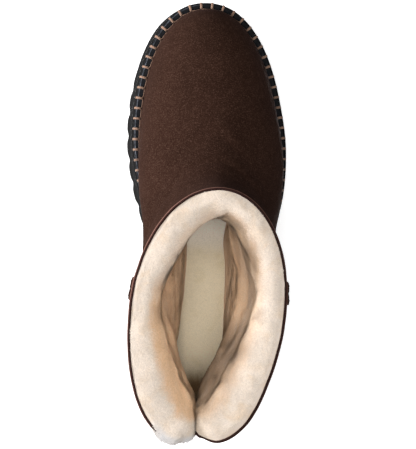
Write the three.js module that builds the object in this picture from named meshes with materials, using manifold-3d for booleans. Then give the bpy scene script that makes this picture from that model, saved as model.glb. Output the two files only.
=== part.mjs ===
// A pull-on sheepskin boot, right foot: lugged outsole, stitched welt band, double-faced sheepskin
// upper, side seam strips and an insole. Millimetres, +Z up, toe towards +Y, outer side towards +X.
// Sizes are counted from the back end of the outsole (y = 0) and from the ground (z = 0); the
// finished group is then shifted so that its origin is the middle of the box on the ground.
import * as THREE from "three";
import { mergeVertices } from "three/addons/utils/BufferGeometryUtils.js";
import Module from "manifold-3d";

const wasm = await Module();
wasm.setup();

// Driving sizes
const soleLength = 277;
const forefootThickness = 28; // ground to platform top under the ball
const heelLift = 9; // extra platform height under the heel
const toeSpring = 13; // outsole lifted off the ground at the toe tip
const archRelief = 3.5;
const lugDepth = 5;
const lugsPerSide = 21;
const groove = 3.6; // width of the gaps between the lugs
const flare = 2.7; // outsole's foot past the welt band
const lugSwell = 0.9; // lugs standing out of the sidewall
const ledge = 0.8; // outsole's top edge past the welt band
const bandWidth = 4.6; // welt band's top, from the upper to its outer edge
const bandHeight = 11;
const woolWall = 16.5; // sheepskin with its pile
const toeWall = 12.5; // the same skin, pressed flatter over the toes
const seamWidth = 13;
const seamProud = 2.4;
const insoleThickness = 8;
const gap = 0.3; // between pieces that touch
const notchDepth = 8; // dip in the collar at the back seam
const pinch = 6; // back seam drawn in at the collar
const cleft = 1.5; // how fast the pile closes towards the back seam inside the shaft
const throat = 3; // thicker pile round the instep
const lean = 6; // shaft's lean to the inner side, at the collar
const crest = 3.5; // pile standing above the skin's cut edge

// Plan of the welt band: the sole's middle line and half width at each station.
const soleRows = [
  { y: 0, centre: -5.5, half: 38 }, // heel's back
  { y: 40, centre: -3.5, half: 38 },
  { y: 75, centre: 0, half: 36.8 },
  { y: 105, centre: 2.5, half: 37.2 }, // waist
  { y: 130, centre: 3.2, half: 40.4 },
  { y: 155, centre: 2.4, half: 46.4 },
  { y: 180, centre: 1.2, half: 49 }, // ball
  { y: 215, centre: -0.2, half: 48.2 },
  { y: 276, centre: -1.4, half: 47.6 }, // toe
];

// Sections of the upper from the welt to the collar. front and back are where the section meets the
// middle plane, and frontZ and backZ its heights there. foot is how far it follows the sole's plan;
// the rest of it follows the shaft: half is its half width, and middleFront and middleBack the ends
// of its middle line. taper and heel are the lengths of the rounded front and back ends, with their
// powers. swell is the wall's bulge over the sole's plan, and waist its extra bulge over the sole's
// waist on the inner side.
const upperRows = [
  { front: 268.5, frontZ: 37.0, back: 7.2, backZ: 37.3, foot: 1, swell: -1.6, waist: 0, half: 38, middleFront: 2, middleBack: -5, taper: 92, heel: 38, frontPower: 2.2, backPower: 2.2 },
  { front: 270.2, frontZ: 47, back: 6.0, backZ: 49, foot: 1, swell: 0, waist: 1.6, half: 38, middleFront: 2, middleBack: -5, taper: 92, heel: 38, frontPower: 2.2, backPower: 2.2 },
  { front: 269.6, frontZ: 58, back: 5.2, backZ: 61, foot: 1, swell: 0.5, waist: 3.6, half: 38, middleFront: 2, middleBack: -5, taper: 93, heel: 39, frontPower: 2.2, backPower: 2.2 },
  { front: 264, frontZ: 68.5, back: 5.4, backZ: 74, foot: 0.94, swell: 0.6, waist: 5, half: 39, middleFront: 2, middleBack: -5, taper: 96, heel: 41, frontPower: 2.18, backPower: 2.2 },
  { front: 253, frontZ: 78, back: 6.6, backZ: 87, foot: 0.82, swell: 0.8, waist: 5.4, half: 40, middleFront: 2.2, middleBack: -5, taper: 101, heel: 45, frontPower: 2.16, backPower: 2.22 },
  { front: 236.5, frontZ: 86.6, back: 8.2, backZ: 99, foot: 0.62, swell: 0.4, waist: 5.2, half: 40.4, middleFront: 2.6, middleBack: -5, taper: 105, heel: 50, frontPower: 2.12, backPower: 2.24 },
  { front: 216, frontZ: 94.6, back: 9.4, backZ: 109.5, foot: 0.4, swell: 0, waist: 4.4, half: 40.8, middleFront: 3.2, middleBack: -5.2, taper: 103, heel: 55, frontPower: 2.08, backPower: 2.27 },
  { front: 195.5, frontZ: 102.8, back: 9.8, backZ: 119, foot: 0.2, swell: 0, waist: 3.2, half: 41.2, middleFront: 4, middleBack: -5.6, taper: 95, heel: 60, frontPower: 2.05, backPower: 2.3 },
  { front: 177.5, frontZ: 112.6, back: 9.4, backZ: 128, foot: 0.06, swell: 0, waist: 1.4, half: 41.8, middleFront: 4.8, middleBack: -6, taper: 86, heel: 65, frontPower: 2.03, backPower: 2.35 },
  { front: 165, frontZ: 124.8, back: 7.2, backZ: 137, foot: 0, swell: 0, waist: 0.4, half: 43, middleFront: 4.6, middleBack: -6.5, taper: 78, heel: 73, frontPower: 2.01, backPower: 2.34 },
  { front: 158.2, frontZ: 139, back: 5.2, backZ: 147, foot: 0, swell: 0, waist: 0, half: 44, middleFront: 5.2, middleBack: -6.6, taper: 73.5, heel: 78, frontPower: 2, backPower: 2.32 },
  { front: 155.3, frontZ: 154.5, back: 3.2, backZ: 157, foot: 0, swell: 0, waist: 0, half: 45.3, middleFront: 5.6, middleBack: -6.8, taper: 72, heel: 82, frontPower: 2, backPower: 2.36 },
  { front: 154.8, frontZ: 170, back: 2.4, backZ: 167, foot: 0, swell: 0, waist: 0, half: 46.2, middleFront: 5.9, middleBack: -6.8, taper: 71.4, heel: 84, frontPower: 2, backPower: 2.36 },
];
const collar = upperRows.length - 1;

const mix = THREE.MathUtils.lerp;
const ease = (x) => THREE.MathUtils.smoothstep(x, 0, 1);

// One column of a table as a smooth function of another, or of the row number.
function column(rows, name, at) {
  const x = rows.map((row, i) => (at ? row[at] : i));
  const v = rows.map((row) => row[name]);
  const slope = v.map((_, i) => {
    const a = Math.max(i - 1, 0);
    const b = Math.min(i + 1, v.length - 1);
    return (v[b] - v[a]) / (x[b] - x[a]);
  });
  return (value) => {
    const i = Math.min(Math.max(x.findIndex((xi) => xi > value) - 1, 0), x.length - 2);
    const k = value >= x[x.length - 1] ? x.length - 2 : i;
    const h = x[k + 1] - x[k];
    const t = Math.min(Math.max((value - x[k]) / h, 0), 1);
    const keep = 2 * t ** 3 - 3 * t ** 2 + 1;
    return (
      keep * v[k] +
      (t ** 3 - 2 * t ** 2 + t) * h * slope[k] +
      (1 - keep) * v[k + 1] +
      (t ** 3 - t ** 2) * h * slope[k + 1]
    );
  };
}

const soleCentre = column(soleRows, "centre", "y");
const soleHalf = column(soleRows, "half", "y");
const upperColumn = Object.fromEntries(
  Object.keys(upperRows[0]).map((name) => [name, column(upperRows, name)]),
);

// Share of the full width at a distance from a rounded end.
function roundEnd(distance, radius, power) {
  if (distance >= radius) return 1;
  return Math.max(1 - (1 - Math.max(distance, 0) / radius) ** power, 0) ** (1 / power);
}

// Heights of the outsole's underside and of the platform's top along the boot.
const bottomAt = (y) =>
  3.5 * ease(1 - y / 14) +
  archRelief * ease((y - 76) / 28) * ease((140 - y) / 28) +
  toeSpring * Math.max((y - 212) / (soleLength - 212), 0) ** 2;
const platformAt = (y) =>
  forefootThickness +
  heelLift * ease((152 - y) / 130) +
  9 * Math.max((y - 205) / (soleLength - 205), 0) ** 2;

// A closed plan ring: toe tip, outer side, heel tip, inner side. Each side has n even steps.
function planRing(front, back, xAt, n) {
  const fine = 240;
  const sides = [1, -1].map((side) => {
    const raw = Array.from({ length: fine + 1 }, (_, i) => {
      const y = mix(front, back, (1 - Math.cos((Math.PI * i) / fine)) / 2);
      return new THREE.Vector2(xAt(y, side), y);
    });
    const run = [0];
    for (let i = 1; i <= fine; i++) run.push(run[i - 1] + raw[i].distanceTo(raw[i - 1]));
    return Array.from({ length: n + 1 }, (_, j) => {
      const want = Math.min((run[fine] * j) / n, run[fine]);
      const i = Math.min(Math.max(run.findIndex((r) => r >= want), 1), fine);
      const share = (want - run[i - 1]) / (run[i] - run[i - 1]);
      return raw[i - 1].clone().lerp(raw[i], share);
    });
  });
  return [...sides[0], ...sides[1].slice(1, n).reverse()];
}

// The ring moved outwards in plan by a distance, which may depend on the point.
function offsetRing(ring, by) {
  return ring.map((p, i) => {
    const before = ring[(i + ring.length - 1) % ring.length];
    const after = ring[(i + 1) % ring.length];
    const along = after.clone().sub(before).normalize();
    const d = typeof by === "function" ? by(i) : by;
    return new THREE.Vector2(p.x - along.y * d, p.y + along.x * d);
  });
}

const bandBack = flare + lugSwell;
const bandFront = soleLength - 2;
const bandX = (y, side) =>
  soleCentre(y) +
  side * soleHalf(y) * roundEnd(bandFront - y, 93, 2.2) * roundEnd(y - bandBack, 38, 2.2);
const bandRing = (n) => planRing(bandFront, bandBack, bandX, n);

// One section of the upper's outer face at a level, counted in rows of the table.
function section(level) {
  const row = Object.fromEntries(
    Object.entries(upperColumn).map(([name, at]) => [name, at(level)]),
  );
  const share = (y) => (y - row.back) / (row.front - row.back);
  const tilt = (lean * Math.max(level - 1, 0)) / (collar - 1);
  const riseFront = row.frontZ - platformAt(row.front);
  const riseBack = row.backZ - platformAt(row.back);
  const x = (y, side) => {
    const middle = mix(row.middleBack, row.middleFront, share(y)) - tilt;
    const bulge = row.waist * (side < 0 ? 1 : 0.3) * Math.exp(-(((y - 140) / 38) ** 2));
    const half = mix(row.half, soleHalf(y) - bandWidth + row.swell, row.foot) + bulge;
    return (
      mix(middle, soleCentre(y), row.foot) +
      side *
        half *
        roundEnd(row.front - y, row.taper, row.frontPower) *
        roundEnd(y - row.back, row.heel, row.backPower)
    );
  };
  const z = (y) =>
    mix(
      mix(row.backZ, row.frontZ, share(y)),
      platformAt(y) + mix(riseBack, riseFront, share(y)),
      row.foot,
    );
  return {
    ...row,
    middleBack: row.middleBack - tilt,
    middleFront: row.middleFront - tilt,
    x,
    z,
  };
}

// The upper's outer face as a grid: a ring of 2n points at each level.
function outerRing(level, n) {
  const s = section(level);
  return planRing(s.front, s.back, s.x, n).map((p) => new THREE.Vector3(p.x, p.y, s.z(p.y)));
}

// The back seam drawn in near the collar, with the dip that it makes in the edge.
function drawnIn(ring, level, amount) {
  const s = section(level);
  const near = amount * ease((level - 8) / (collar - 8));
  return ring.map((p) => {
    const off = (p.x - s.middleBack) / 8.5;
    const dent = p.y < s.back + 45 ? near * Math.exp(-off * off) : 0;
    return new THREE.Vector3(p.x, p.y + pinch * dent, p.z - notchDepth * dent);
  });
}

// Outward normals of a grid of rings.
function normals(rings) {
  return rings.map((ring, k) =>
    ring.map((_, i) => {
      const up = rings[Math.min(k + 1, rings.length - 1)][i]
        .clone()
        .sub(rings[Math.max(k - 1, 0)][i]);
      const around = ring[(i + 1) % ring.length]
        .clone()
        .sub(ring[(i + ring.length - 1) % ring.length]);
      return up.cross(around).normalize();
    }),
  );
}

// Closed rings joined by quads. With caps, the two ends are closed across from side to side;
// without, the last ring joins the first.
function loft(rings, caps) {
  const m = rings[0].length;
  const points = rings.flat();
  const index = [];
  const quad = (a, b, c, d) => index.push(a, b, c, a, c, d);
  const spans = caps ? rings.length - 1 : rings.length;
  for (let k = 0; k < spans; k++) {
    const low = k * m;
    const high = ((k + 1) % rings.length) * m;
    for (let i = 0; i < m; i++) quad(low + i, high + i, high + ((i + 1) % m), low + ((i + 1) % m));
  }
  if (caps) {
    const across = (at, flip) => {
      for (let i = 0; i < m / 2; i++) {
        const [a, b, c, d] = [i, i + 1, m - i - 1, (m - i) % m].map((j) => at + j);
        if (flip) quad(a, b, c, d);
        else quad(a, d, c, b);
      }
    };
    across(0, true);
    across((rings.length - 1) * m, false);
  }
  const flat = new Float32Array(points.flatMap((p) => [p.x, p.y, p.z]));
  const geometry = new THREE.BufferGeometry();
  geometry.setAttribute("position", new THREE.BufferAttribute(flat, 3));
  geometry.setIndex(index);
  return geometry;
}

function toSolid(geometry) {
  const bare = geometry.clone();
  bare.deleteAttribute("normal");
  bare.deleteAttribute("uv");
  const merged = mergeVertices(bare, 1e-4);
  const solid = new wasm.Manifold(
    new wasm.Mesh({
      numProp: 3,
      vertProperties: merged.attributes.position.array,
      triVerts: new Uint32Array(merged.index.array),
    }),
  );
  return solid;
}

function toGeometry(solid) {
  const mesh = solid.getMesh();
  const geometry = new THREE.BufferGeometry();
  geometry.setAttribute("position", new THREE.BufferAttribute(mesh.vertProperties, 3));
  geometry.setIndex(new THREE.BufferAttribute(mesh.triVerts, 1));
  return geometry;
}

// A cutter that runs along a path in plan, up to the lug depth above the sole's underside.
function channel(path, width) {
  const rings = path.map((p, i) => {
    const before = path[Math.max(i - 1, 0)];
    const after = path[Math.min(i + 1, path.length - 1)];
    const along = after.clone().sub(before).normalize();
    const top = bottomAt(p.y) + lugDepth;
    const side = new THREE.Vector2(-along.y, along.x).multiplyScalar(width / 2);
    return [
      new THREE.Vector3(p.x + side.x, p.y + side.y, -3),
      new THREE.Vector3(p.x - side.x, p.y - side.y, -3),
      new THREE.Vector3(p.x - side.x, p.y - side.y, top),
      new THREE.Vector3(p.x + side.x, p.y + side.y, top),
    ];
  });
  const solid = toSolid(loft(rings, true));
  return solid.volume() < 0 ? toSolid(loft([...rings].reverse(), true)) : solid;
}

// Lugged outsole. The sidewall is smooth at the top and swells out into the lugs at the bottom.
function outsole() {
  const stepsPerLug = 4;
  const n = lugsPerSide * stepsPerLug;
  const base = bandRing(n);
  const lugWave = (i) => Math.cos((2 * Math.PI * (i + stepsPerLug / 2)) / stepsPerLug);
  // Rows from the ground up: height as a share of the wall, share of the flare and of the lug swell.
  const wall = [
    { share: 0, out: 0.9, wave: 0.9 },
    { share: 0.28, out: 1, wave: 1 },
    { share: 0.46, out: 0.5, wave: 0.2 },
    { share: 1, out: 0, wave: 0 },
  ];
  const rings = wall.map(({ share, out, wave }) =>
    offsetRing(base, (i) => mix(ledge, flare, out) + wave * lugSwell * lugWave(i)).map(
      (p) => new THREE.Vector3(p.x, p.y, mix(bottomAt(p.y), platformAt(p.y), share)),
    ),
  );
  let body = toSolid(loft(rings, true));
  const outer = offsetRing(base, flare + 4);
  const edge = offsetRing(base, -15);
  for (let lug = 0; lug < 2 * lugsPerSide; lug++) {
    const i = lug * stepsPerLug;
    const path = [0, 0.5, 1].map((t) => edge[i].clone().lerp(outer[i], t));
    body = body.subtract(channel(path, groove));
  }
  const inner = offsetRing(bandRing(24), -15);
  body = body.subtract(channel(inner.slice(1, 24), groove));
  body = body.subtract(channel(inner.slice(25, 48), groove));
  for (let lug = 1; lug < lugsPerSide - 1; lug++) {
    const a = edge[lug * stepsPerLug];
    const b = edge[2 * n - lug * stepsPerLug];
    const middle = a.clone().add(b).multiplyScalar(0.5);
    const chevron = new THREE.Vector2(middle.x, middle.y + 5);
    body = body.subtract(channel([a, chevron, b], groove));
  }
  return toGeometry(body);
}

// Black band that the upper is stitched to, with a flat top ledge.
function weltBand() {
  const n = 50;
  const levels = [0, 0.55, 1.1].map((level) => outerRing(level, n));
  const facing = normals(levels);
  const inside = [0, 2].map((k) =>
    levels[k].map((p, i) => {
      const flat = new THREE.Vector2(facing[k][i].x, facing[k][i].y).normalize();
      const z = platformAt(p.y) + (k ? bandHeight : gap);
      return new THREE.Vector3(p.x + flat.x * gap, p.y + flat.y * gap, z);
    }),
  );
  const profile = [
    { rise: gap, out: 0 },
    { rise: bandHeight - 1.2, out: -0.35 },
    { rise: bandHeight - 0.2, out: -1.2 },
  ];
  const outside = profile.map(({ rise, out }) =>
    offsetRing(bandRing(n), out).map(
      (p) => new THREE.Vector3(p.x, p.y, platformAt(p.y) + rise),
    ),
  );
  return loft([...outside, inside[1], inside[0]], false);
}

// Wall thickness: pressed flatter over the toes.
const wallAt = (y) =>
  mix(woolWall, toeWall, ease((y - 150) / 80)) + throat * Math.exp(-(((y - 125) / 28) ** 2));

const upperSteps = 19;
const levelsUp = (from, to, steps) =>
  Array.from({ length: steps + 1 }, (_, k) => mix(from, to, k / steps));

// The inner face of the pile. Above the heel it closes towards the back seam, less so at the collar.
function innerRing(outer, facing, level, k) {
  const s = section(level);
  const near = cleft * ease((level - 3) / 4) * (1 - 0.3 * ease((level - 9) / (collar - 9)));
  return outer.map((p, i) => {
    const q = p.clone().addScaledVector(facing[i], -wallAt(p.y));
    const shut = Math.min(near * Math.max((95 - q.y) / 91, 0) ** 1.5, 0.88);
    q.x = mix(q.x, mix(s.middleBack, s.middleFront, q.y / 155), shut);
    q.z = Math.max(q.z, platformAt(q.y) + gap + k * 0.4);
    return q;
  });
}

// The whole double-faced skin as one hollow wall, open at the collar and underneath.
function upper() {
  const n = 28;
  const levels = levelsUp(0, collar, upperSteps);
  const plain = levels.map((level) => outerRing(level, n));
  const facing = normals(plain);
  const outer = plain.map((ring, k) => drawnIn(ring, levels[k], 1));
  const inner = plain.map((ring, k) =>
    drawnIn(innerRing(ring, facing[k], levels[k], k), levels[k], 0.7),
  );
  const rim = [0.16, 0.5, 0.84].map((share) =>
    outer[upperSteps].map((p, i) => {
      const q = p.clone().lerp(inner[upperSteps][i], share);
      q.z += crest * Math.sin(Math.PI * share) ** 0.6;
      return q;
    }),
  );
  return loft([...outer, ...rim, ...[...inner].reverse()], false);
}

// Raised strip over a side seam, from the band to just under the collar.
function seamStrip(side) {
  const levels = levelsUp(1.35, collar - 0.35, 12);
  const across = [-1, -0.5, 0, 0.5, 1];
  const face = (level, proud) =>
    across.map((share) => {
      const middle = mix(100, side > 0 ? 92 : 95, level / collar);
      const y = middle + (share * seamWidth) / 2;
      const s = section(level);
      const low = section(level - 0.05);
      const high = section(level + 0.05);
      const up = new THREE.Vector3(high.x(y, side) - low.x(y, side), 0, high.z(y) - low.z(y));
      const along = new THREE.Vector3(s.x(y + 1, side) - s.x(y - 1, side), 2, s.z(y + 1) - s.z(y - 1));
      const out = up.cross(along).normalize().multiplyScalar(-side);
      const edge = Math.abs(share) === 1 ? 0.6 : 0;
      return new THREE.Vector3(s.x(y, side), y, s.z(y)).addScaledVector(out, proud - edge);
    });
  const rings = levels.map((level) => [
    ...face(level, seamProud),
    ...face(level, gap + 0.6).reverse(),
  ]);
  return loft(side > 0 ? [...rings].reverse() : rings, true);
}

// Footbed that fills the floor inside the skin.
function insole() {
  const n = 32;
  const floor = [0, 0.4].map((level) => outerRing(level, n));
  const facing = normals(floor)[0];
  const rim = floor[0].map((p, i) => {
    const flat = new THREE.Vector2(facing[i].x, facing[i].y).normalize();
    return new THREE.Vector2(p.x, p.y).addScaledVector(flat, -wallAt(p.y) - 3 * gap);
  });
  const profile = [
    { rise: gap, out: 0 },
    { rise: insoleThickness - 1.5, out: 0 },
    { rise: insoleThickness, out: -1.8 },
  ];
  const rings = profile.map(({ rise, out }) =>
    offsetRing(rim, out).map((p) => new THREE.Vector3(p.x, p.y, platformAt(p.y) + rise)),
  );
  return loft(rings, true);
}

const finishes = {
  rubber: new THREE.MeshStandardMaterial({ color: 0x33322f, roughness: 0.75, metalness: 0 }),
  band: new THREE.MeshStandardMaterial({ color: 0x121316, roughness: 0.5, metalness: 0 }),
  suede: new THREE.MeshStandardMaterial({ color: 0x3a2620, roughness: 0.95, metalness: 0 }),
  fleece: new THREE.MeshStandardMaterial({ color: 0xb8ac92, roughness: 1, metalness: 0 }),
};

function piece(name, geometry, finish) {
  const mesh = new THREE.Mesh(geometry, finishes[finish]);
  mesh.name = name;
  return mesh;
}

const boot = new THREE.Group();
boot.add(
  piece("outsole", outsole(), "rubber"),
  piece("welt_band", weltBand(), "band"),
  piece("upper", upper(), "suede"),
  piece("seam_strip_outer", seamStrip(1), "suede"),
  piece("seam_strip_inner", seamStrip(-1), "suede"),
  piece("insole", insole(), "fleece"),
);

const box = new THREE.Box3().setFromObject(boot);
const middle = box.getCenter(new THREE.Vector3());
boot.position.set(-middle.x, -middle.y, -box.min.z);

export default boot;
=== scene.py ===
# A pull-on sheepskin boot, right foot: lugged rubber outsole, whip-stitched welt band, suede skin with
# its pile inside, two side seam strips, a back seam and a fleece footbed.
import math

import bmesh
import bpy
import numpy as np
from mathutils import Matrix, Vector, noise


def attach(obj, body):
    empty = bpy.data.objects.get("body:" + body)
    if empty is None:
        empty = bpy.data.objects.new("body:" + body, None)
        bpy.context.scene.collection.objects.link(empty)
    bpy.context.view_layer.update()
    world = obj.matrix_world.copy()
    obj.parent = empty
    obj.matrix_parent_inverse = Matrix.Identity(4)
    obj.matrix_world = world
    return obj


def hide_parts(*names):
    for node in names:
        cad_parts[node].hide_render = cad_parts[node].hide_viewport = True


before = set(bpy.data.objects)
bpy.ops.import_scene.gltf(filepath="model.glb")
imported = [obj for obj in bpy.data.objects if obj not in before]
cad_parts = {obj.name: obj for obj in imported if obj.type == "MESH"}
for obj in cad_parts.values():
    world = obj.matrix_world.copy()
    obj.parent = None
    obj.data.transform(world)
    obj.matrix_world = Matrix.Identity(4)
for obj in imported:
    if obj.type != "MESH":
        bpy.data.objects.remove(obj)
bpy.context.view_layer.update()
scene = bpy.context.scene
print("frame loaded:", len(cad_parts), "nodes")

# Camera and lights
view = {
    "target": (0.0, -0.0058, 0.03),
    "distance": 1.6,
    "leanDegrees": -2.6,  # camera's lean to the inner side
    "lens": 198.8,
    "clip": (0.05, 20),
}
lean = math.radians(view["leanDegrees"])
cameraData = bpy.data.cameras.new("camera")
camera = bpy.data.objects.new("camera", cameraData)
scene.collection.objects.link(camera)
cameraData.lens = view["lens"]
cameraData.clip_start, cameraData.clip_end = view["clip"]
camera.location = Vector(view["target"]) + Vector((math.sin(lean), 0, math.cos(lean))) * view["distance"]
camera.rotation_euler = (0, lean, 0)
scene.camera = camera

lampAim = Vector((0, 0, 0.05))
lights = [  # name, where, width, watts, colour
    ("key", (-1.5, 0.1, 0.5), 0.7, 46, (1.0, 0.985, 1.0)),
    ("top", (-0.2, -0.1, 2.4), 1.45, 50, (1.0, 0.99, 0.985)),
    ("fill", (1.0, -1.8, 0.4), 0.9, 2.5, (1.0, 0.96, 0.9)),
    ("under", (0.1, 0.05, -1.2), 0.9, 22, (1.0, 1.0, 1.0)),
]
for name, where, width, watts, colour in lights:
    data = bpy.data.lights.new(name, "AREA")
    data.shape, data.size, data.energy, data.color = "DISK", width, watts, colour
    lamp = bpy.data.objects.new(name, data)
    lamp.location = where
    lamp.rotation_euler = (lampAim - Vector(where)).to_track_quat("-Z", "Y").to_euler()
    scene.collection.objects.link(lamp)
world = bpy.data.worlds.new("studio")
world.use_nodes = True
worldLight = {"seen": 1.0, "shining": 0.07}
sky = world.node_tree
sky.nodes["Background"].inputs["Color"].default_value = (1, 1, 1, 1)
seenDirectly = sky.nodes.new("ShaderNodeLightPath").outputs["Is Camera Ray"]
strength = sky.nodes.new("ShaderNodeMapRange")
strength.inputs["To Min"].default_value = worldLight["shining"]
strength.inputs["To Max"].default_value = worldLight["seen"]
sky.links.new(seenDirectly, strength.inputs["Value"])
sky.links.new(strength.outputs["Result"], sky.nodes["Background"].inputs["Strength"])
scene.world = world
scene.view_settings.view_transform = "Standard"

# The boot's shape in millimetres, counted from the back end of the outsole and from the ground
shift = np.array([-0.264, -139.163, 0.0])  # from these sizes to the frame
size = {
    "soleLength": 277, "forefootThickness": 28, "heelLift": 9, "toeLift": 9, "toeSpring": 13, "heelRise": 3.5,
    "archRelief": 3.5, "lugDepth": 5, "lugsPerSide": 21, "groove": 3.6,
    "flare": 2.7, "lugSwell": 0.9, "ledge": 0.8,
    "bandWidth": 4.6, "bandHeight": 11, "toeRounding": 93, "heelRounding": 38, "squareness": 2.2,
    "woolWall": 16.5, "toeWall": 12.5, "gap": 0.3, "throat": 3,
    "outerWaist": 0.3,  # the outer side draws out at the ball by this share of the inner side
    "notchDepth": 8,  # dip in the collar's edge at the back seam
    "pinch": 6,  # and how far the seam is drawn in there
    "notchWidth": 8.5,
    "hollow": 1.6,  # slight hollow in the outer side behind the ankle
    "cleft": 1.5,  # how far the pile closes towards the back seam
    "lean": 6,  # of the shaft to the inner side
}
soleRows = {  # plan of the band's outer edge
    "y": [0, 40, 75, 105, 130, 155, 180, 215, 276],
    "centre": [-5.5, -3.5, 0, 2.5, 3.2, 2.4, 1.2, -0.2, -1.4],
    "half": [38, 38, 36.8, 37.2, 40.4, 46.4, 49, 48.2, 47.6],
}
upperRows = {  # sections from the welt to the collar
    "front": [268.5, 270.2, 269.6, 264, 253, 236.5, 216, 195.5, 177.5, 165, 158.2, 155.3, 154.8],
    "frontZ": [37, 47, 58, 68.5, 78, 86.6, 94.6, 102.8, 112.6, 124.8, 139, 154.5, 170],
    "back": [7.2, 6, 5.2, 5.4, 6.6, 8.2, 9.4, 9.8, 9.4, 7.2, 5.2, 3.2, 2.4],
    "backZ": [37.3, 49, 61, 74, 87, 99, 109.5, 119, 128, 137, 147, 157, 167],
    "foot": [1, 1, 1, 0.94, 0.82, 0.62, 0.4, 0.2, 0.06, 0, 0, 0, 0],
    "swell": [-1.6, 0, 0.5, 0.6, 0.8, 0.4, 0, 0, 0, 0, 0, 0, 0],
    "waist": [0, 1.6, 3.6, 5, 5.4, 5.2, 4.4, 3.2, 1.4, 0.4, 0, 0, 0],
    "half": [38, 38, 38, 39, 40, 40.4, 40.8, 41.2, 41.8, 43, 44, 45.3, 46.2],
    "middleFront": [2, 2, 2, 2, 2.2, 2.6, 3.2, 4, 4.8, 4.6, 5.2, 5.6, 5.9],
    "middleBack": [-5, -5, -5, -5, -5, -5, -5.2, -5.6, -6, -6.5, -6.6, -6.8, -6.8],
    "taper": [92, 92, 93, 96, 101, 105, 103, 95, 86, 78, 73.5, 72, 71.4],
    "heel": [38, 38, 39, 41, 45, 50, 55, 60, 65, 73, 78, 82, 84],
    "frontPower": [2.2, 2.2, 2.2, 2.18, 2.16, 2.12, 2.08, 2.05, 2.03, 2.01, 2, 2, 2],
    "backPower": [2.2, 2.2, 2.2, 2.2, 2.22, 2.24, 2.27, 2.3, 2.35, 2.34, 2.32, 2.36, 2.36],
}
collar = len(upperRows["front"]) - 1


def mix(a, b, t):
    return a + (b - a) * t


def ease(t):
    t = np.clip(t, 0, 1)
    return t * t * (3 - 2 * t)


def rising(value, start, width):  # 0 up to the start, 1 from a width beyond it
    return ease((value - start) / width)


def falling(value, end, width):  # 1 up to a width before the end, 0 beyond it
    return ease((end - value) / width)


def hump(distance, width):
    return np.exp(-((distance / width) ** 2))


def column(values, at=None):  # one column of a table as a smooth function of another, or of the row
    v = np.array(values, float)
    x = np.arange(len(v), dtype=float) if at is None else np.array(at, float)
    slope = np.empty_like(v)
    slope[1:-1] = (v[2:] - v[:-2]) / (x[2:] - x[:-2])
    slope[0], slope[-1] = (v[1] - v[0]) / (x[1] - x[0]), (v[-1] - v[-2]) / (x[-1] - x[-2])

    def value(q):
        q = np.clip(q, x[0], x[-1])
        k = np.clip(np.searchsorted(x, q, side="right") - 1, 0, len(x) - 2)
        h = x[k + 1] - x[k]
        t = (q - x[k]) / h
        keep = 2 * t**3 - 3 * t**2 + 1
        return (keep * v[k] + (t**3 - 2 * t**2 + t) * h * slope[k]
                + (1 - keep) * v[k + 1] + (t**3 - t**2) * h * slope[k + 1])

    return value


soleCentre = column(soleRows["centre"], soleRows["y"])
soleHalf = column(soleRows["half"], soleRows["y"])
upperAt = {name: column(values) for name, values in upperRows.items()}


def roundEnd(distance, radius, power):
    d = np.clip(distance / radius, 0, 1)
    return np.maximum(1 - (1 - d) ** power, 0) ** (1 / power)


def bottomAt(y):
    return (size["heelRise"] * ease(1 - y / 14) + size["archRelief"] * rising(y, 76, 28) * falling(y, 140, 28)
            + size["toeSpring"] * np.maximum((y - 212) / (size["soleLength"] - 212), 0) ** 2)


def platformAt(y):
    return (size["forefootThickness"] + size["heelLift"] * falling(y, 152, 130)
            + size["toeLift"] * np.maximum((y - 205) / (size["soleLength"] - 205), 0) ** 2)


def planRing(front, rear, xAt, n):  # toe tip, outer side, heel tip, inner side, n even steps a side
    y = mix(front, rear, (1 - np.cos(np.linspace(0, math.pi, 900))) / 2)
    sides = []
    for side in (1, -1):
        x = xAt(y, side)
        run = np.concatenate([[0], np.cumsum(np.hypot(np.diff(x), np.diff(y)))])
        want = np.linspace(0, run[-1], n + 1)
        sides.append(np.stack([np.interp(want, run, x), np.interp(want, run, y)], 1))
    return np.concatenate([sides[0], sides[1][1:n][::-1]])


def ringNormals(ring):
    along = np.roll(ring, -1, 0) - np.roll(ring, 1, 0)
    along /= np.linalg.norm(along, axis=1)[:, None]
    return np.stack([-along[:, 1], along[:, 0]], 1)


def offsetRing(ring, by):
    return ring + ringNormals(ring) * np.reshape(by, (-1, 1))


bandBack, bandFront = size["flare"] + size["lugSwell"], size["soleLength"] - 2


def bandX(y, side):
    toe = roundEnd(bandFront - y, size["toeRounding"], size["squareness"])
    heel = roundEnd(y - bandBack, size["heelRounding"], size["squareness"])
    return soleCentre(y) + side * soleHalf(y) * toe * heel


def bandRing(n):
    return planRing(bandFront, bandBack, bandX, n)


class Section:  # one section of the skin's outer face, its level counted in rows of the table
    def __init__(self, level):
        for name, at in upperAt.items():
            setattr(self, name, float(at(level)))
        tilt = size["lean"] * max(level - 1, 0) / (collar - 1)
        self.middleBack -= tilt
        self.middleFront -= tilt

    def share(self, y):
        return (y - self.back) / (self.front - self.back)

    def x(self, y, side):
        bulge = self.waist * (1 if side < 0 else size["outerWaist"]) * hump(y - 140, 38)
        half = mix(self.half, soleHalf(y) - size["bandWidth"] + self.swell, self.foot) + bulge
        middle = mix(mix(self.middleBack, self.middleFront, self.share(y)), soleCentre(y), self.foot)
        toe = roundEnd(self.front - y, self.taper, self.frontPower)
        return middle + side * half * (toe * roundEnd(y - self.back, self.heel, self.backPower))

    def z(self, y):
        riseFront = self.frontZ - platformAt(self.front)
        riseBack = self.backZ - platformAt(self.back)
        free = mix(self.backZ, self.frontZ, self.share(y))
        return mix(free, platformAt(y) + mix(riseBack, riseFront, self.share(y)), self.foot)

    def ring(self, n):
        plan = planRing(self.front, self.back, self.x, n)
        return np.column_stack([plan, self.z(plan[:, 1])])


def outerGrid(levels, n):
    return np.array([Section(level).ring(n) for level in levels])


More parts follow.
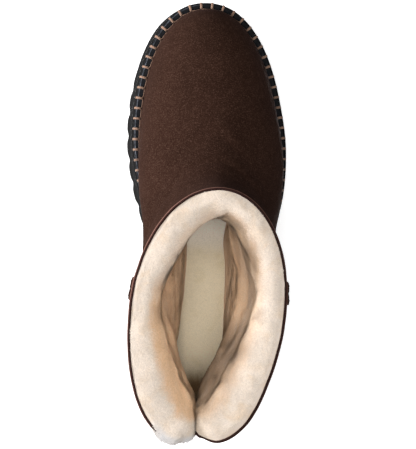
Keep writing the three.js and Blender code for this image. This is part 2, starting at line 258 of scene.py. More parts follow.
def unit(v):
    return v / np.maximum(np.linalg.norm(v, axis=-1, keepdims=True), 1e-9)


def gridNormals(grid, wrapRows=False):
    if wrapRows:
        up = np.roll(grid, -1, 0) - np.roll(grid, 1, 0)
    else:
        up = np.concatenate([grid[1:], grid[-1:]]) - np.concatenate([grid[:1], grid[:-1]])
    return unit(np.cross(up, np.roll(grid, -1, 1) - np.roll(grid, 1, 1)))


def drawnIn(grid, levels, amount):  # the back seam pulled in near the collar, with the dip in its edge
    out = grid.copy()
    for k, level in enumerate(levels):
        section = Section(level)
        x, y, z = out[k].T
        near = amount * rising(level, 8, collar - 8)
        dent = np.where(y < section.back + 45, near * hump(x - section.middleBack, size["notchWidth"]), 0)
        y += size["pinch"] * dent
        x -= size["hollow"] * near * hump(y - 38, 24) * rising(x, 4, 22)
        z -= size["notchDepth"] * dent
    return out


def wallAt(y):
    return mix(size["woolWall"], size["toeWall"], rising(y, 150, 80)) + size["throat"] * hump(y - 125, 28)


def innerGrid(outer, facing, levels, most):  # the pile's inner face, which closes towards the back seam
    out = outer - facing * wallAt(outer[..., 1:2])
    for k, level in enumerate(levels):
        section = Section(level)
        x, y, z = out[k].T
        near = size["cleft"] * rising(level, 3, 4) * (1 - 0.3 * rising(level, 9, collar - 9))
        shut = np.minimum(near * np.maximum((95 - y) / 91, 0) ** 1.5, most)
        x[:] = mix(x, mix(section.middleBack, section.middleFront, y / 155), shut)
        z[:] = np.maximum(z, platformAt(y) + size["gap"] + level * 0.63)
    return out


def samplePoints(points, scale, offset, sample):
    flat = points.reshape(-1, 3) / scale + np.array(offset)
    values = np.fromiter((sample(p) for p in flat.tolist()), float, len(flat))
    return values.reshape(points.shape[:-1])


def noiseAt(points, scale, seed=0):
    return samplePoints(points, scale, [seed * 17.3, seed * 5.1, seed * 9.7], noise.noise)


def tuftsAt(points, scale, seed=0):
    return samplePoints(points, scale, [seed * 3.1, seed * 7.7, seed * 1.3], lambda p: noise.voronoi(p)[0][0])


def runAlong(line):  # distance from the start of a line to each of its points
    return np.concatenate([[0], np.cumsum(np.linalg.norm(np.diff(line, axis=0), axis=1))])


def arc(start, end, steps):  # angles of a rounded edge
    return np.radians(np.linspace(start, end, steps))


# Mesh helpers
def latticeFaces(rows, columns, wrapRows=False, start=0):
    low = (np.arange(rows if wrapRows else rows - 1)[:, None] * columns + np.arange(columns))
    high = (low + columns) % (rows * columns)
    turn = np.roll(np.arange(columns), -1)
    return (np.stack([low, high, high[:, turn], low[:, turn]], -1).reshape(-1, 4) + start).tolist()


def capFaces(columns, start, flip):  # closes a ring across from side to side
    faces = []
    for i in range(columns // 2):
        face = [start + i, start + i + 1, start + columns - i - 1, start + (columns - i) % columns]
        face = list(dict.fromkeys(face))
        if len(face) > 2:
            faces.append(face if flip else face[::-1])
    return faces


def makePiece(name, points, faces, material=None, attributes=None):
    mesh = bpy.data.meshes.new(name)
    mesh.from_pydata(((np.reshape(points, (-1, 3)) + shift) * 0.001).tolist(), [], faces)
    for key, values in (attributes or {}).items():
        wide = np.ndim(values) == np.ndim(points)
        layer = mesh.attributes.new(key, "FLOAT_VECTOR" if wide else "FLOAT", "POINT")
        layer.data.foreach_set("vector" if wide else "value", np.ravel(values).astype(np.float32))
    mesh.polygons.foreach_set("use_smooth", [True] * len(mesh.polygons))
    if material:
        mesh.materials.append(material)
    piece = bpy.data.objects.new(name, mesh)
    scene.collection.objects.link(piece)
    return piece


def cleanMesh(mesh, tidyUp):  # runs one bmesh edit on a mesh
    work = bmesh.new()
    work.from_mesh(mesh)
    tidyUp(work)
    work.to_mesh(mesh)
    work.free()


def finishPiece(piece, replaces=()):
    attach(piece, "root")
    if replaces:
        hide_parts(*replaces)


# Node helpers
def setInputs(tree, node, inputs):  # by name where the socket is in use, or by number
    for key, value in inputs.items():
        socket = node.inputs[key] if isinstance(key, int) else next(
            s for s in node.inputs if s.name == key and s.enabled)
        if isinstance(value, bpy.types.NodeSocket):
            tree.links.new(value, socket)
        else:
            socket.default_value = value


def addNode(tree, kind, inputs=None, **settings):
    node = tree.nodes.new(kind)
    node.location = (len(tree.nodes) * 190, -40 * (len(tree.nodes) % 5))
    for key, value in settings.items():
        setattr(node, key, value)
    setInputs(tree, node, inputs or {})
    return node


def liveOutput(node):
    return next(socket for socket in node.outputs if socket.enabled)


def calc(tree, operation, a, b=None, c=None, clamped=False):
    values = {i: v for i, v in enumerate((a, b, c)) if v is not None}
    return addNode(tree, "ShaderNodeMath", values, operation=operation, use_clamp=clamped).outputs[0]


def vectorCalc(tree, operation, a, b=None, scale=None):
    values = {0: a}
    if b is not None:
        values[1] = b
    if scale is not None:
        values["Scale"] = scale
    node = addNode(tree, "ShaderNodeVectorMath", values, operation=operation)
    return node.outputs["Value" if operation in ("DOT_PRODUCT", "LENGTH") else "Vector"]


def times(tree, a, b):
    return calc(tree, "MULTIPLY", a, b)


def mixColour(tree, share, a, b, blend="MIX"):
    inputs = {"Factor": share, "A": a, "B": b}
    return liveOutput(addNode(tree, "ShaderNodeMix", inputs, data_type="RGBA", blend_type=blend))


def remap(tree, value, low, high, toLow=0.0, toHigh=1.0):
    inputs = {"Value": value, "From Min": low, "From Max": high, "To Min": toLow, "To Max": toHigh}
    return addNode(tree, "ShaderNodeMapRange", inputs, interpolation_type="SMOOTHSTEP").outputs["Result"]


def noiseNode(tree, where, scale, detail=3.0, roughness=0.5, distortion=0.0):
    inputs = {"Vector": where, "Scale": scale, "Detail": detail, "Roughness": roughness,
              "Distortion": distortion}
    return addNode(tree, "ShaderNodeTexNoise", inputs).outputs[0]


def attributeNode(tree, name):
    return addNode(tree, "ShaderNodeAttribute", attribute_name=name, attribute_type="GEOMETRY").outputs["Fac"]


def addSockets(tree, sockets):  # name, kind, direction, default
    for name, kind, direction, default in sockets:
        socket = tree.interface.new_socket(name, in_out=direction, socket_type="NodeSocket" + kind)
        if default is not None:
            socket.default_value = default


def tone(r, g, b):
    channels = [c / 255 for c in (r, g, b)]
    return tuple(c / 12.92 if c <= 0.04045 else ((c + 0.055) / 1.055) ** 2.4 for c in channels) + (1.0,)


def newMaterial(name, constants):
    material = bpy.data.materials.new(name)
    material.use_nodes = True
    tree = material.node_tree
    shader = tree.nodes["Principled BSDF"]
    for key, value in constants.items():
        shader.inputs[key].default_value = value
    where = addNode(tree, "ShaderNodeTexCoord").outputs["Object"]
    return material, tree, shader, where


def fillGroup(tree, group, inputs):
    return addNode(tree, "ShaderNodeGroup", inputs, node_tree=group).outputs


def useInShader(tree, shader, colour, roughness):
    tree.links.new(colour, shader.inputs["Base Color"])
    tree.links.new(roughness, shader.inputs["Roughness"])


def bumpInto(tree, shader, height, strength, distance, normal=None):
    inputs = {"Height": height, "Strength": strength, "Distance": distance}
    if normal is not None:
        inputs["Normal"] = normal
    node = addNode(tree, "ShaderNodeBump", inputs)
    tree.links.new(node.outputs["Normal"], shader.inputs["Normal"])
    return node.outputs["Normal"]


# Shader groups
def newGroup(name, inputs, outputs):  # a shader group with its named sockets; gives the tree and its inputs
    tree = bpy.data.node_groups.new(name, "ShaderNodeTree")
    addSockets(tree, [("Vector", "Vector", "INPUT", None)]
               + [(key, "Color" if isinstance(value, tuple) else "Float", "INPUT", value)
                  for key, value in inputs.items()]
               + [(key, "Color" if key == "Color" else "Float", "OUTPUT", None) for key in outputs])
    return tree, addNode(tree, "NodeGroupInput").outputs


def napGrainGroup():  # suede's nap: brushed patches, soft mottle and fine speckle
    tree, source = newGroup("napGrain", {
        "Base": tone(62, 42, 36), "Dark": tone(40, 26, 22), "Light": tone(96, 68, 58),
        "Speckle scale": 1500.0,
        "Patch scale": 38.0, "Speckle": 0.5, "Patches": 0.4,
    }, ("Color", "Height", "Roughness"))
    where, speckleScale = source["Vector"], source["Speckle scale"]
    brushed = noiseNode(tree, where, source["Patch scale"], 3.0, 0.55, 0.8)
    fine = noiseNode(tree, where, speckleScale, 2.0, 0.6)
    coarse = noiseNode(tree, where, times(tree, speckleScale, 0.22), 3.0, 0.6)
    grain = calc(tree, "ADD", times(tree, fine, 0.84), times(tree, coarse, 0.16))
    patch = times(tree, remap(tree, brushed, 0.42, 0.64), source["Patches"])
    fleck = times(tree, remap(tree, grain, 0.5, 0.68), source["Speckle"])
    pit = times(tree, remap(tree, grain, 0.5, 0.34), source["Speckle"])
    colour = mixColour(tree, patch, source["Base"], source["Dark"])
    colour = mixColour(tree, pit, colour, source["Dark"])
    colour = mixColour(tree, fleck, colour, source["Light"])
    rough = calc(tree, "SUBTRACT", 1.0, times(tree, fleck, 0.15))
    addNode(tree, "NodeGroupOutput", {"Color": colour, "Height": grain, "Roughness": rough})
    return tree


def pileMottleGroup():  # wool: swirls, tufts, long locks, and the warm and deep tints fed in, which are partly painted shade in the creases and down the walls
    tree, source = newGroup("pileMottle", {
        "Light": tone(240, 226, 208), "Warm": tone(222, 190, 146), "Deep": tone(176, 138, 106), "Depth": 0.0,
        "Warmth": 0.0, "Swirl scale": 62.0,
    }, ("Color", "Height"))
    where, swirlScale = source["Vector"], source["Swirl scale"]
    swirl = noiseNode(tree, where, swirlScale, 4.0, 0.55, 1.6)
    tuft = noiseNode(tree, where, times(tree, swirlScale, 5.5), 3.0, 0.6, 0.6)
    hair = noiseNode(tree, where, times(tree, swirlScale, 26.0), 2.0, 0.6)
    warm = times(tree, remap(tree, swirl, 0.48, 0.74), 0.45)
    warm = calc(tree, "ADD", warm, times(tree, remap(tree, tuft, 0.56, 0.3), 0.14))
    warm = calc(tree, "ADD", warm, source["Warmth"], clamped=True)
    stretched = vectorCalc(tree, "MULTIPLY", where, (1.0, 0.16, 0.7))  # the locks run along the walls
    lock = noiseNode(tree, stretched, times(tree, swirlScale, 4.6), 3.0, 0.6, 0.4)
    deep = calc(tree, "MULTIPLY_ADD", calc(tree, "SUBTRACT", tuft, 0.5), 0.25, source["Depth"])
    lockDeep = times(tree, calc(tree, "SUBTRACT", lock, 0.5), source["Depth"])
    deep = calc(tree, "MULTIPLY_ADD", lockDeep, 0.9, deep)
    colour = mixColour(tree, warm, source["Light"], source["Warm"])
    colour = mixColour(tree, remap(tree, deep, 0.0, 1.0), colour, source["Deep"])
    height = calc(tree, "MULTIPLY_ADD", hair, 0.35, times(tree, tuft, 0.65))
    addNode(tree, "NodeGroupOutput", {"Color": colour, "Height": height})
    return tree


def rubberWearGroup():  # moulded rubber: cloudy tone, fine pebble, dust and rubbed spots
    tree, source = newGroup("rubberWear", {
        "Base": tone(52, 52, 50), "Dust": tone(104, 100, 92), "Amount": 0.2, "Pebble scale": 900.0,
        "Roughness": 0.7,
    }, ("Color", "Height", "Roughness"))
    where = source["Vector"]
    cloud = noiseNode(tree, where, 55.0, 4.0, 0.6, 0.5)
    speck = noiseNode(tree, where, 420.0, 4.0, 0.7)
    pebble = noiseNode(tree, where, source["Pebble scale"], 2.0, 0.5)
    dust = times(tree, remap(tree, cloud, 0.4, 0.75), remap(tree, speck, 0.45, 0.7))
    dust = times(tree, dust, source["Amount"])
    darker = mixColour(tree, 1.0, source["Base"], (0.62, 0.62, 0.62, 1.0), "MULTIPLY")
    clouded = mixColour(tree, times(tree, remap(tree, cloud, 0.35, 0.65), 0.3), source["Base"], darker)
    colour = mixColour(tree, dust, clouded, source["Dust"])
    rough = calc(tree, "MULTIPLY_ADD", dust, 0.35, source["Roughness"])
    rough = calc(tree, "ADD", rough, times(tree, calc(tree, "SUBTRACT", speck, 0.5), 0.16))
    addNode(tree, "NodeGroupOutput", {"Color": colour, "Height": pebble, "Roughness": rough})
    return tree


napGrain, pileMottle, rubberWear = napGrainGroup(), pileMottleGroup(), rubberWearGroup()


# Materials
def suedeMaterial(name, colours, patches, edgeColour):
    material, tree, shader, where = newMaterial(name, {
        "Sheen Weight": 0.03, "Sheen Roughness": 0.45, "Sheen Tint": tone(214, 164, 154),
        "Specular IOR Level": 0.03,
    })
    base, dark, light = colours
    nap = fillGroup(tree, napGrain, {
        "Vector": where, "Base": base, "Dark": dark, "Light": light, "Speckle": 0.65, "Patches": patches})
    # painted shade in the groove below the lip, then a painted highlight on the lip's outer corner
    colour = mixColour(tree, attributeNode(tree, "lipShade"), nap["Color"], dark)
    colour = mixColour(tree, attributeNode(tree, "lipShine"), colour, tone(150, 110, 98))
    colour = mixColour(tree, attributeNode(tree, "cutEdge"), colour, edgeColour)
    useInShader(tree, shader, colour, nap["Roughness"])
    bumpInto(tree, shader, nap["Height"], 0.55, 0.0005)
    return material


def woolMaterial(name, light, warm, deep, swirlScale, strands):
    material, tree, shader, where = newMaterial(name, {
        "Roughness": 0.95, "Sheen Weight": 0.25, "Sheen Roughness": 0.4, "Sheen Tint": tone(255, 244, 230),
        "Specular IOR Level": 0.1,
    })
    mottle = fillGroup(tree, pileMottle, {
        "Vector": where, "Light": light, "Warm": warm, "Deep": deep, "Swirl scale": swirlScale,
        "Depth": attributeNode(tree, "depth"), "Warmth": attributeNode(tree, "warmth"),
    })
    colour = mixColour(tree, attributeNode(tree, "pale"), mottle["Color"], tone(232, 231, 234))
    paintedShadeFactor = calc(tree, "MULTIPLY_ADD", attributeNode(tree, "shade"), -1.0, 1.0)  # painted shade and painted light: the shade attribute darkens or lightens the wool
    colour = vectorCalc(tree, "SCALE", colour, scale=paintedShadeFactor)
    if strands:  # each strand its own tone, with painted shade darkening it towards its root
        single = calc(tree, "MULTIPLY_ADD", attributeNode(tree, "strandTone"), 0.15, 0.9)
        root = calc(tree, "MULTIPLY_ADD", attributeNode(tree, "tip"), 0.14, 0.88)
        grey = times(tree, single, root)
        own = addNode(tree, "ShaderNodeCombineColor", {0: grey, 1: grey, 2: times(tree, grey, 0.985)})
        colour = mixColour(tree, 1.0, colour, own.outputs[0], "MULTIPLY")
    tree.links.new(colour, shader.inputs["Base Color"])
    rootNormal = addNode(tree, "ShaderNodeAttribute", attribute_name="rootNormal").outputs["Vector"]
    if strands:
        tree.links.new(rootNormal, shader.inputs["Normal"])
    else:
        bumpInto(tree, shader, mottle["Height"], 0.5, 0.0008, rootNormal)
    return material


def rubberMaterial(name, base, dust, amount, pebbleScale, roughness, pebble, gloss, paintedHighlight=None):
    material, tree, shader, where = newMaterial(name, {"Specular IOR Level": gloss})
    wear = fillGroup(tree, rubberWear, {"Vector": where, "Base": base, "Dust": dust, "Amount": amount,
                                        "Pebble scale": pebbleScale, "Roughness": roughness})
    colour = wear["Color"]
    if paintedHighlight:  # painted highlight along the moulded corner
        colour = mixColour(tree, attributeNode(tree, "corner"), colour, paintedHighlight)
    useInShader(tree, shader, colour, wear["Roughness"])
    bumpInto(tree, shader, wear["Height"], pebble, 0.0003)
    return material


def threadMaterial(name, dark, body, light):  # waxed twisted thread
    material, tree, shader, where = newMaterial(name, {"Sheen Weight": 0.1, "Specular IOR Level": 0.2})
    lay = addNode(tree, "ShaderNodeUVMap", uv_map="thread").outputs["UV"]
    parts = addNode(tree, "ShaderNodeSeparateXYZ", {"Vector": lay}).outputs
    turns = calc(tree, "ADD", times(tree, parts["X"], 6.0), parts["Y"])
    twist = calc(tree, "ABSOLUTE", calc(tree, "SINE", times(tree, turns, math.pi)))
    fuzz = noiseNode(tree, where, 2200.0, 3.0, 0.6)
    soil = noiseNode(tree, where, 90.0, 2.0, 0.5)
    # the twist's grooves are darker: painted shade
    colour = mixColour(tree, remap(tree, twist, 0.0, 0.55), dark, body)
    colour = mixColour(tree, times(tree, fuzz, 0.4), colour, light)
    colour = mixColour(tree, times(tree, remap(tree, soil, 0.5, 0.7), 0.35), colour, dark)
    useInShader(tree, shader, colour, calc(tree, "MULTIPLY_ADD", fuzz, 0.3, 0.55))
    bumpInto(tree, shader, calc(tree, "MULTIPLY_ADD", fuzz, 0.25, twist), 0.7, 0.0002)
    return material


suede = suedeMaterial("chocolateSuede", (tone(47, 30, 23), tone(31, 18, 12), tone(82, 61, 51)), 0.25,
                      tone(46, 30, 27))
stripSuede = suedeMaterial("stripSuede", (tone(48, 32, 28), tone(30, 19, 16), tone(72, 52, 45)), 0.5,
                           tone(80, 58, 49))
wool, woolStrands, footbedWool, footbedStrands = (
    woolMaterial(name, tone(*light), tone(*warm), tone(*deep), swirlScale, strands)
    for name, light, warm, deep, swirlScale, strands in (
        ("creamPile", (221, 207, 194), (214, 190, 163), (222, 182, 145), 62.0, False),
        ("creamStrands", (237, 223, 209), (229, 204, 176), (235, 194, 155), 62.0, True),
        # the footbed's deep tone is the colour of the painted shade at its heel
        ("footbedPile", (232, 215, 184), (218, 198, 158), (128, 98, 66), 48.0, False),
        ("footbedStrands", (238, 222, 192), (224, 205, 166), (134, 104, 72), 48.0, True)))
outsoleRubber = rubberMaterial(
    "outsoleRubber", tone(21, 21, 21), tone(36, 36, 35), 0.25, 1100.0, 0.75, 0.35, 0.12)
# the last tone is the painted highlight on the band's corner
bandRubber = rubberMaterial("bandRubber", tone(7, 8, 12), tone(30, 32, 38), 0.05, 700.0, 0.5, 0.04, 0.07,
                            tone(120, 126, 136))
tanThread = threadMaterial("tanThread", tone(84, 62, 50), tone(146, 116, 98), tone(166, 138, 118))
edgeTan = threadMaterial("edgeTan", tone(60, 42, 34), tone(112, 84, 68), tone(136, 108, 90))
brownThread = threadMaterial("brownThread", tone(44, 30, 24), tone(104, 76, 62), tone(136, 106, 90))
print("materials made")

# Suede skin with its rolled lip, cut edge, back seam and soft creases
skin = {
    "columns": 180,  # to each side
    "rows": 140,
    "rowCrowding": 1.35,  # rows stand closer together near the edge
    "thickness": 1.4,
    "softDents": 0.35,
    "fineDents": 0.14,
    "creases": 0.9,  # across the instep and behind the heel
    "lip": 0.7,
    "lipGroove": 0.5,
    "lipSwell": 0.15,  # below the groove
    "backGroove": 0.8,
    "backSwell": 0.5,  # to each side of the groove
    "raggedEdge": 0.28,
    "paintedHighlight": 0.9,  # painted highlight on the lip's outer corner
    "shade": 0.8,  # painted shade in the groove below it
}
instepFolds = [(8.4, 0.22, -1), (8.0, 0.25, 0.7), (7.35, 0.2, -0.8), (7.0, 0.22, 0.4)]  # level, width, height
heelFolds = [(6.2, 0.25, -1), (5.75, 0.3, 0.6), (7.6, 0.25, -0.6)]


def belowEdge(grid):  # distance down from the cut edge, for each point
    steps = np.linalg.norm(np.diff(grid, axis=0), axis=2)
    down = np.cumsum(steps[::-1], axis=0)[::-1]
    return np.concatenate([down, np.zeros((1, grid.shape[1]))])


def seamMiddle(section):
    return mix(section.middleBack, float(soleCentre(section.back)), section.foot)


def backSeamDistance(grid, levels):
    across = np.full(grid.shape[:2], 99.0)
    for k, level in enumerate(levels):
        section = Section(level)
        near = grid[k, :, 1] < section.back + 30
        across[k, near] = grid[k, near, 0] - seamMiddle(section)
    return across


def foldsAt(level, folds):
    return sum(height * hump(level - middle, width) for middle, width, height in folds)


def skinRelief(grid, levels):
    below = belowEdge(grid)
    relief = skin["softDents"] * noiseAt(grid, 28, 1) + skin["fineDents"] * noiseAt(grid, 9, 2)
    relief = relief + skin["lip"] * hump(below - 1.0, 0.9) - skin["lipGroove"] * hump(below - 3.3, 0.9)
    relief = relief + skin["lipSwell"] * hump(below - 5.2, 1.1)
    seam = backSeamDistance(grid, levels)
    relief = relief + skin["backSwell"] * hump(np.abs(seam) - 2.2, 1.5) - skin["backGroove"] * hump(seam, 0.9)
    level = levels[:, None] + 0.77 * noiseAt(grid, 30, 4)
    instep = hump(grid[..., 0] + 1, 34) * rising(grid[..., 1], 120, 30)
    heel = 0.8 * falling(grid[..., 1], 46, 30)
    strength = skin["creases"] * (0.6 + 0.8 * noiseAt(grid, 22, 5))
    return relief + strength * (instep * foldsAt(level, instepFolds) + heel * foldsAt(level, heelFolds))


skinLevels = collar * (1 - (1 - np.linspace(0, 1, skin["rows"])) ** skin["rowCrowding"])
skinGrid = drawnIn(outerGrid(skinLevels, skin["columns"]), skinLevels, 1)
skinFacing = gridNormals(skinGrid)
skinGrid = skinGrid + skinFacing * skinRelief(skinGrid, skinLevels)[..., None]
skinTop, topFacing = skinGrid[-1], skinFacing[-1]
edgeRows, half = [], skin["thickness"] / 2
ragged = skin["raggedEdge"] * noiseAt(skinTop, 2.2, 7)[:, None] * np.array([0, 0, 1.0])
for angle in np.radians([25, 60, 90, 120, 155]):
    lift = np.array([0, 0, half * math.sin(angle)])
    edgeRows.append(skinTop - topFacing * (half - half * math.cos(angle)) + lift + ragged)
liningRows = skinGrid[::-10] - skinFacing[::-10] * skin["thickness"]
skinPoints = np.concatenate([skinGrid, edgeRows, liningRows])
cutEdge = np.zeros(skinPoints.shape[:2])
cutEdge[skin["rows"]:skin["rows"] + len(edgeRows)] = 1
cutEdge[skin["rows"] - 1] = 0.5
fromEdge = np.full(skinPoints.shape[:2], 99.0)
fromEdge[:skin["rows"]] = belowEdge(skinGrid)
# painted highlight along the lip's outer corner
lipShine = skin["paintedHighlight"] * hump(fromEdge - 0.9, 0.6)
lipShine[skin["rows"]] = skin["paintedHighlight"] / 2
skinFaces = latticeFaces(len(skinPoints), skinPoints.shape[1], True)
suedeSkin = makePiece("suedeSkin", skinPoints, skinFaces, suede, {
    "cutEdge": cutEdge, "lipShine": lipShine, "lipShade": skin["shade"] * hump(fromEdge - 3.0, 0.8)})
print("suede skin made")

# Pile lining: one closed body, crowned over the collar and folding down the inner walls
pile = {
    "columns": 160,  # to each side
    "crownRows": 17,
    "cornerRows": 10,
    "wallRows": 78,
    "hiddenRows": 14,  # down between the pile and the suede
    "inset": 1.7,  # behind the suede's face
    "overlap": 1.0,  # over the cut edge
    "crown": 3.0,
    "edgeDip": 0.9,  # the crown starts this far below the cut edge
    "corner": 10.5,  # rounded inner edge of the collar, across
    "cornerMost": 0.78,  # the same, as a share of the rim at most
    "drop": 12.0,  # the same, down
    "cavityShift": -2.8,  # the foot's space leans to the inner side, lower down
    "outerWall": 2.2,  # more wool on the outer side of that space
    "innerHeel": 2.2,  # and less on its inner side behind
    "frontWall": 2.6,  # the walls draw in at the front
    "spill": 3.6,  # wool over the cut edge, at the back of the inner side
    "valley": 4.5,  # crease at the back seam
    "lobes": 1.2,  # swelling to each side of the crease
    "meeting": 0.8,  # the two lobes meet in the crease
    "edgeRagged": 0.35,
    "tufts": 0.28,
    "fineClumps": 0.12,
    "clumps": 0.2,
    "broadClumps": 0.6,
    "ripple": 0.27,
    "foldSpacing": 17,
    "softUp": 3.0,  # wool passes light on, so it is shaded as if it faced further up
}
woolTint = {  # how strongly each tint, painted shade and painted light shows
    "wallTan": 0.56,
    "floorTan": 0.3,  # added on the way down to the foot
    "rimTan": 0.4,  # on the inner half of the rim
    "slopeTan": 0.9,  # the same where the rim slopes in
    "tuftWarmth": 0.3,
    "edgeWarmth": 0.35,
    "creasePaintedShade": 0.5,
    "wallWarmth": 0.35,
    "spillCool": 0.5,
    "outerLobePaintedShade": 0.55,
    "outerLobeTopPaintedShade": 0.1,
    "wallPaintedLight": 0.1,
    "innerLobePaintedLight": 0.55,
    "innerWallPaintedLight": 0.14,
    "frontPaintedShade": 0.3,
    "innerLipPaintedShade": 0.1,
    "outerRimPaintedLight": 0.07,
    "patchy": 0.5,
}
n = pile["columns"]
pair = np.array([collar - 0.2, collar])
pairGrid = outerGrid(pair, n)
pairFacing = gridNormals(pairGrid)
rimOuter = drawnIn(pairGrid - pairFacing * pile["inset"], pair, 1)[1]
rimInner = drawnIn(innerGrid(pairGrid, pairFacing, pair, 0.96), pair, 0.7)[1]
span = np.linalg.norm((rimInner - rimOuter)[:, :2], axis=1)
inward = np.column_stack([(rimInner - rimOuter)[:, :2] / span[:, None], np.zeros(2 * n)])
x, y, rimZ = rimOuter.T
innerSlope = falling(x, -6, 6) * falling(y, 114, 30)  # the inner side slopes down at the back
outerBack = rising(x, -10, 8) * falling(y, 90, 34)
outerFront = rising(x, 2, 10) * rising(y, 88, 26)  # and the outer side at the front
tanHere = np.maximum(innerSlope, np.maximum(0.3 * outerBack, 0.5 * outerFront))
slopeHere = np.maximum(innerSlope, np.maximum(0.45 * outerBack, 0.85 * outerFront))
dropHere = pile["drop"] + 3 * slopeHere + 7 * outerFront + 8 * outerBack * rising(y, 18, 20)
corner = np.minimum(mix(pile["corner"], pile["cornerMost"] * span, slopeHere), span * pile["cornerMost"])
ragged = pile["edgeRagged"] * noiseAt(rimOuter, 2.4, 12)
spillHere = rising(x, -42, 9) * falling(x, -14.0, 1.5) * falling(y, 34, 8)
spillHere = spillHere * (0.75 + 0.5 * noiseAt(rimOuter, 5, 9))
middleX = Section(collar).middleBack
acrossShare = []


def rimRow(s, drop):
    acrossShare.append(s / span)
    rise = -pile["edgeDip"] + (pile["crown"] + pile["edgeDip"]) * (1 - np.exp(-s / 2.2)) - drop
    over = pile["spill"] * spillHere * np.exp(-s / 4) + (pile["overlap"] + ragged) * np.exp(-s / 1.2)
    row = rimOuter + inward * (s - over)[:, None]
    row[:, 2] = mix(rimZ, rimInner[:, 2], s / span) + rise + 0.5 * spillHere * np.exp(-s / 6)
    back = falling(row[:, 1], 38, 14)
    aside = row[:, 0] - middleX
    row[:, 2] -= back * pile["valley"] * hump(aside, 2.4)
    row[:, 2] += back * pile["lobes"] * hump(np.abs(aside) - 9, 5)
    row[:, 0] -= back * pile["meeting"] * aside * hump(aside, 4.5)
    return row


spilled = (0.6 * pile["spill"] * spillHere)[:, None]
rimRows = [rimOuter - [0, 0, 4.0], rimOuter - [0, 0, 1.5] - inward * spilled]
for share in np.linspace(0, 1, pile["crownRows"]):
    rimRows.append(rimRow(share**1.25 * (span - corner), 0))
for angle in arc(9, 90, pile["cornerRows"]):
    rimRows.append(rimRow(span - corner + corner * math.sin(angle), dropHere * (1 - math.cos(angle))))
wallLevels = np.linspace(collar - 1.1, 0, pile["wallRows"])
wallOuter = outerGrid(wallLevels, n)
wallRows = innerGrid(wallOuter, -gridNormals(wallOuter), wallLevels, 0.96)
wallRows = drawnIn(wallRows, wallLevels, 0.7)
x, y = wallRows[..., 0], wallRows[..., 1]
goneDown = falling(wallLevels, collar - 1, 2.6)[:, None]
x += goneDown * (pile["cavityShift"] - pile["outerWall"] * rising(x, middleX, 12))
x -= pile["innerHeel"] * goneDown * falling(y, 72, 30) * falling(x, middleX + 2, 4)
x -= pile["frontWall"] * goneDown * rising(y, 104, 22) * np.tanh((x - middleX) / 5)
count = np.arange(1, len(wallRows) + 1)
wallRows[..., :2] = mix(rimRows[-1][:, :2], wallRows[..., :2], ease(count / 28)[:, None, None])
wallRows[..., 2] = np.minimum(wallRows[..., 2], rimRows[-1][:, 2] - 0.8 * count[:, None])
hiddenLevels = np.linspace(0, collar - 0.6, pile["hiddenRows"])
hiddenOuter = outerGrid(hiddenLevels, n)
hiddenRows = drawnIn(hiddenOuter - gridNormals(hiddenOuter) * pile["inset"], hiddenLevels, 1)
hiddenRows[0, :, 2] += 0.3
pileGrid = np.concatenate([rimRows, wallRows, hiddenRows])
pileFacing = gridNormals(pileGrid, True)
rimCount, shownCount = len(rimRows), len(rimRows) + len(wallRows)
shown = np.zeros(pileGrid.shape[:2])
shown[2:shownCount] = 1
shown[2], shown[3] = 0.25, 0.6
shown[shownCount - 2:shownCount] = 0

# Tufts, clumps and folds
below = np.maximum(rimZ - pileGrid[..., 2], 0)
tufts = tuftsAt(pileGrid, 7.5, 3)
clumps = pile["tufts"] * (0.55 - tufts) * 1.2 + pile["fineClumps"] * noiseAt(pileGrid, 2.6, 4)
clumps = clumps + pile["broadClumps"] * noiseAt(pileGrid, 17, 6) + pile["clumps"] * noiseAt(pileGrid, 7, 16)
foldWave = below / pile["foldSpacing"] + 0.5 * noiseAt(pileGrid, 26, 8) + pileGrid[..., 1] / 160
ripple = pile["ripple"] * np.sin(2 * math.pi * foldWave)
ripple = ripple * rising(below, 10, 12) * rising(pileGrid[..., 1], 38, 30)
pileGrid = pileGrid + pileFacing * ((clumps + ripple) * shown)[..., None]

# Tints: tan down the walls and warm in the creases, partly the wool's own tone and partly painted shade; pale
# where it spills over; painted shade and painted light from the shade values
x, y = pileGrid[..., 0], pileGrid[..., 1]
across = np.ones(pileGrid.shape[:2])
across[2:rimCount] = acrossShare
frayed = across + 0.07 * noiseAt(pileGrid, 7, 15)
onRim = mix(woolTint["rimTan"] * rising(frayed, 0.45, 0.5),
            woolTint["slopeTan"] * rising(frayed, 0.38, 0.42), tanHere)
# tan down the walls and on the rim's inward slopes: partly the wool's own tone, partly painted shade
depth = woolTint["wallTan"] * rising(below, 2, 9) + woolTint["floorTan"] * rising(below, 10, 50)
depth = np.maximum(depth, onRim) * shown
pale = spillHere * falling(across, 0.2, 0.14)
rows = np.arange(len(pileGrid))[:, None]
# warmth: painted shade between the tufts and in the back-seam crease; the rest is the wool's own warmer tone
warmth = woolTint["tuftWarmth"] * rising(tufts, 0.55, 0.3)
warmth = warmth + woolTint["edgeWarmth"] * falling(rows / 3.5, 1.6, 1.0)
warmth = warmth + woolTint["creasePaintedShade"] * falling(y, 40, 20) * hump(x - middleX, 7)
warmth = warmth + woolTint["wallWarmth"] * ease(below / 12) * falling(below, 30, 10)
warmth = np.clip(warmth - woolTint["spillCool"] * spillHere, 0, 1)
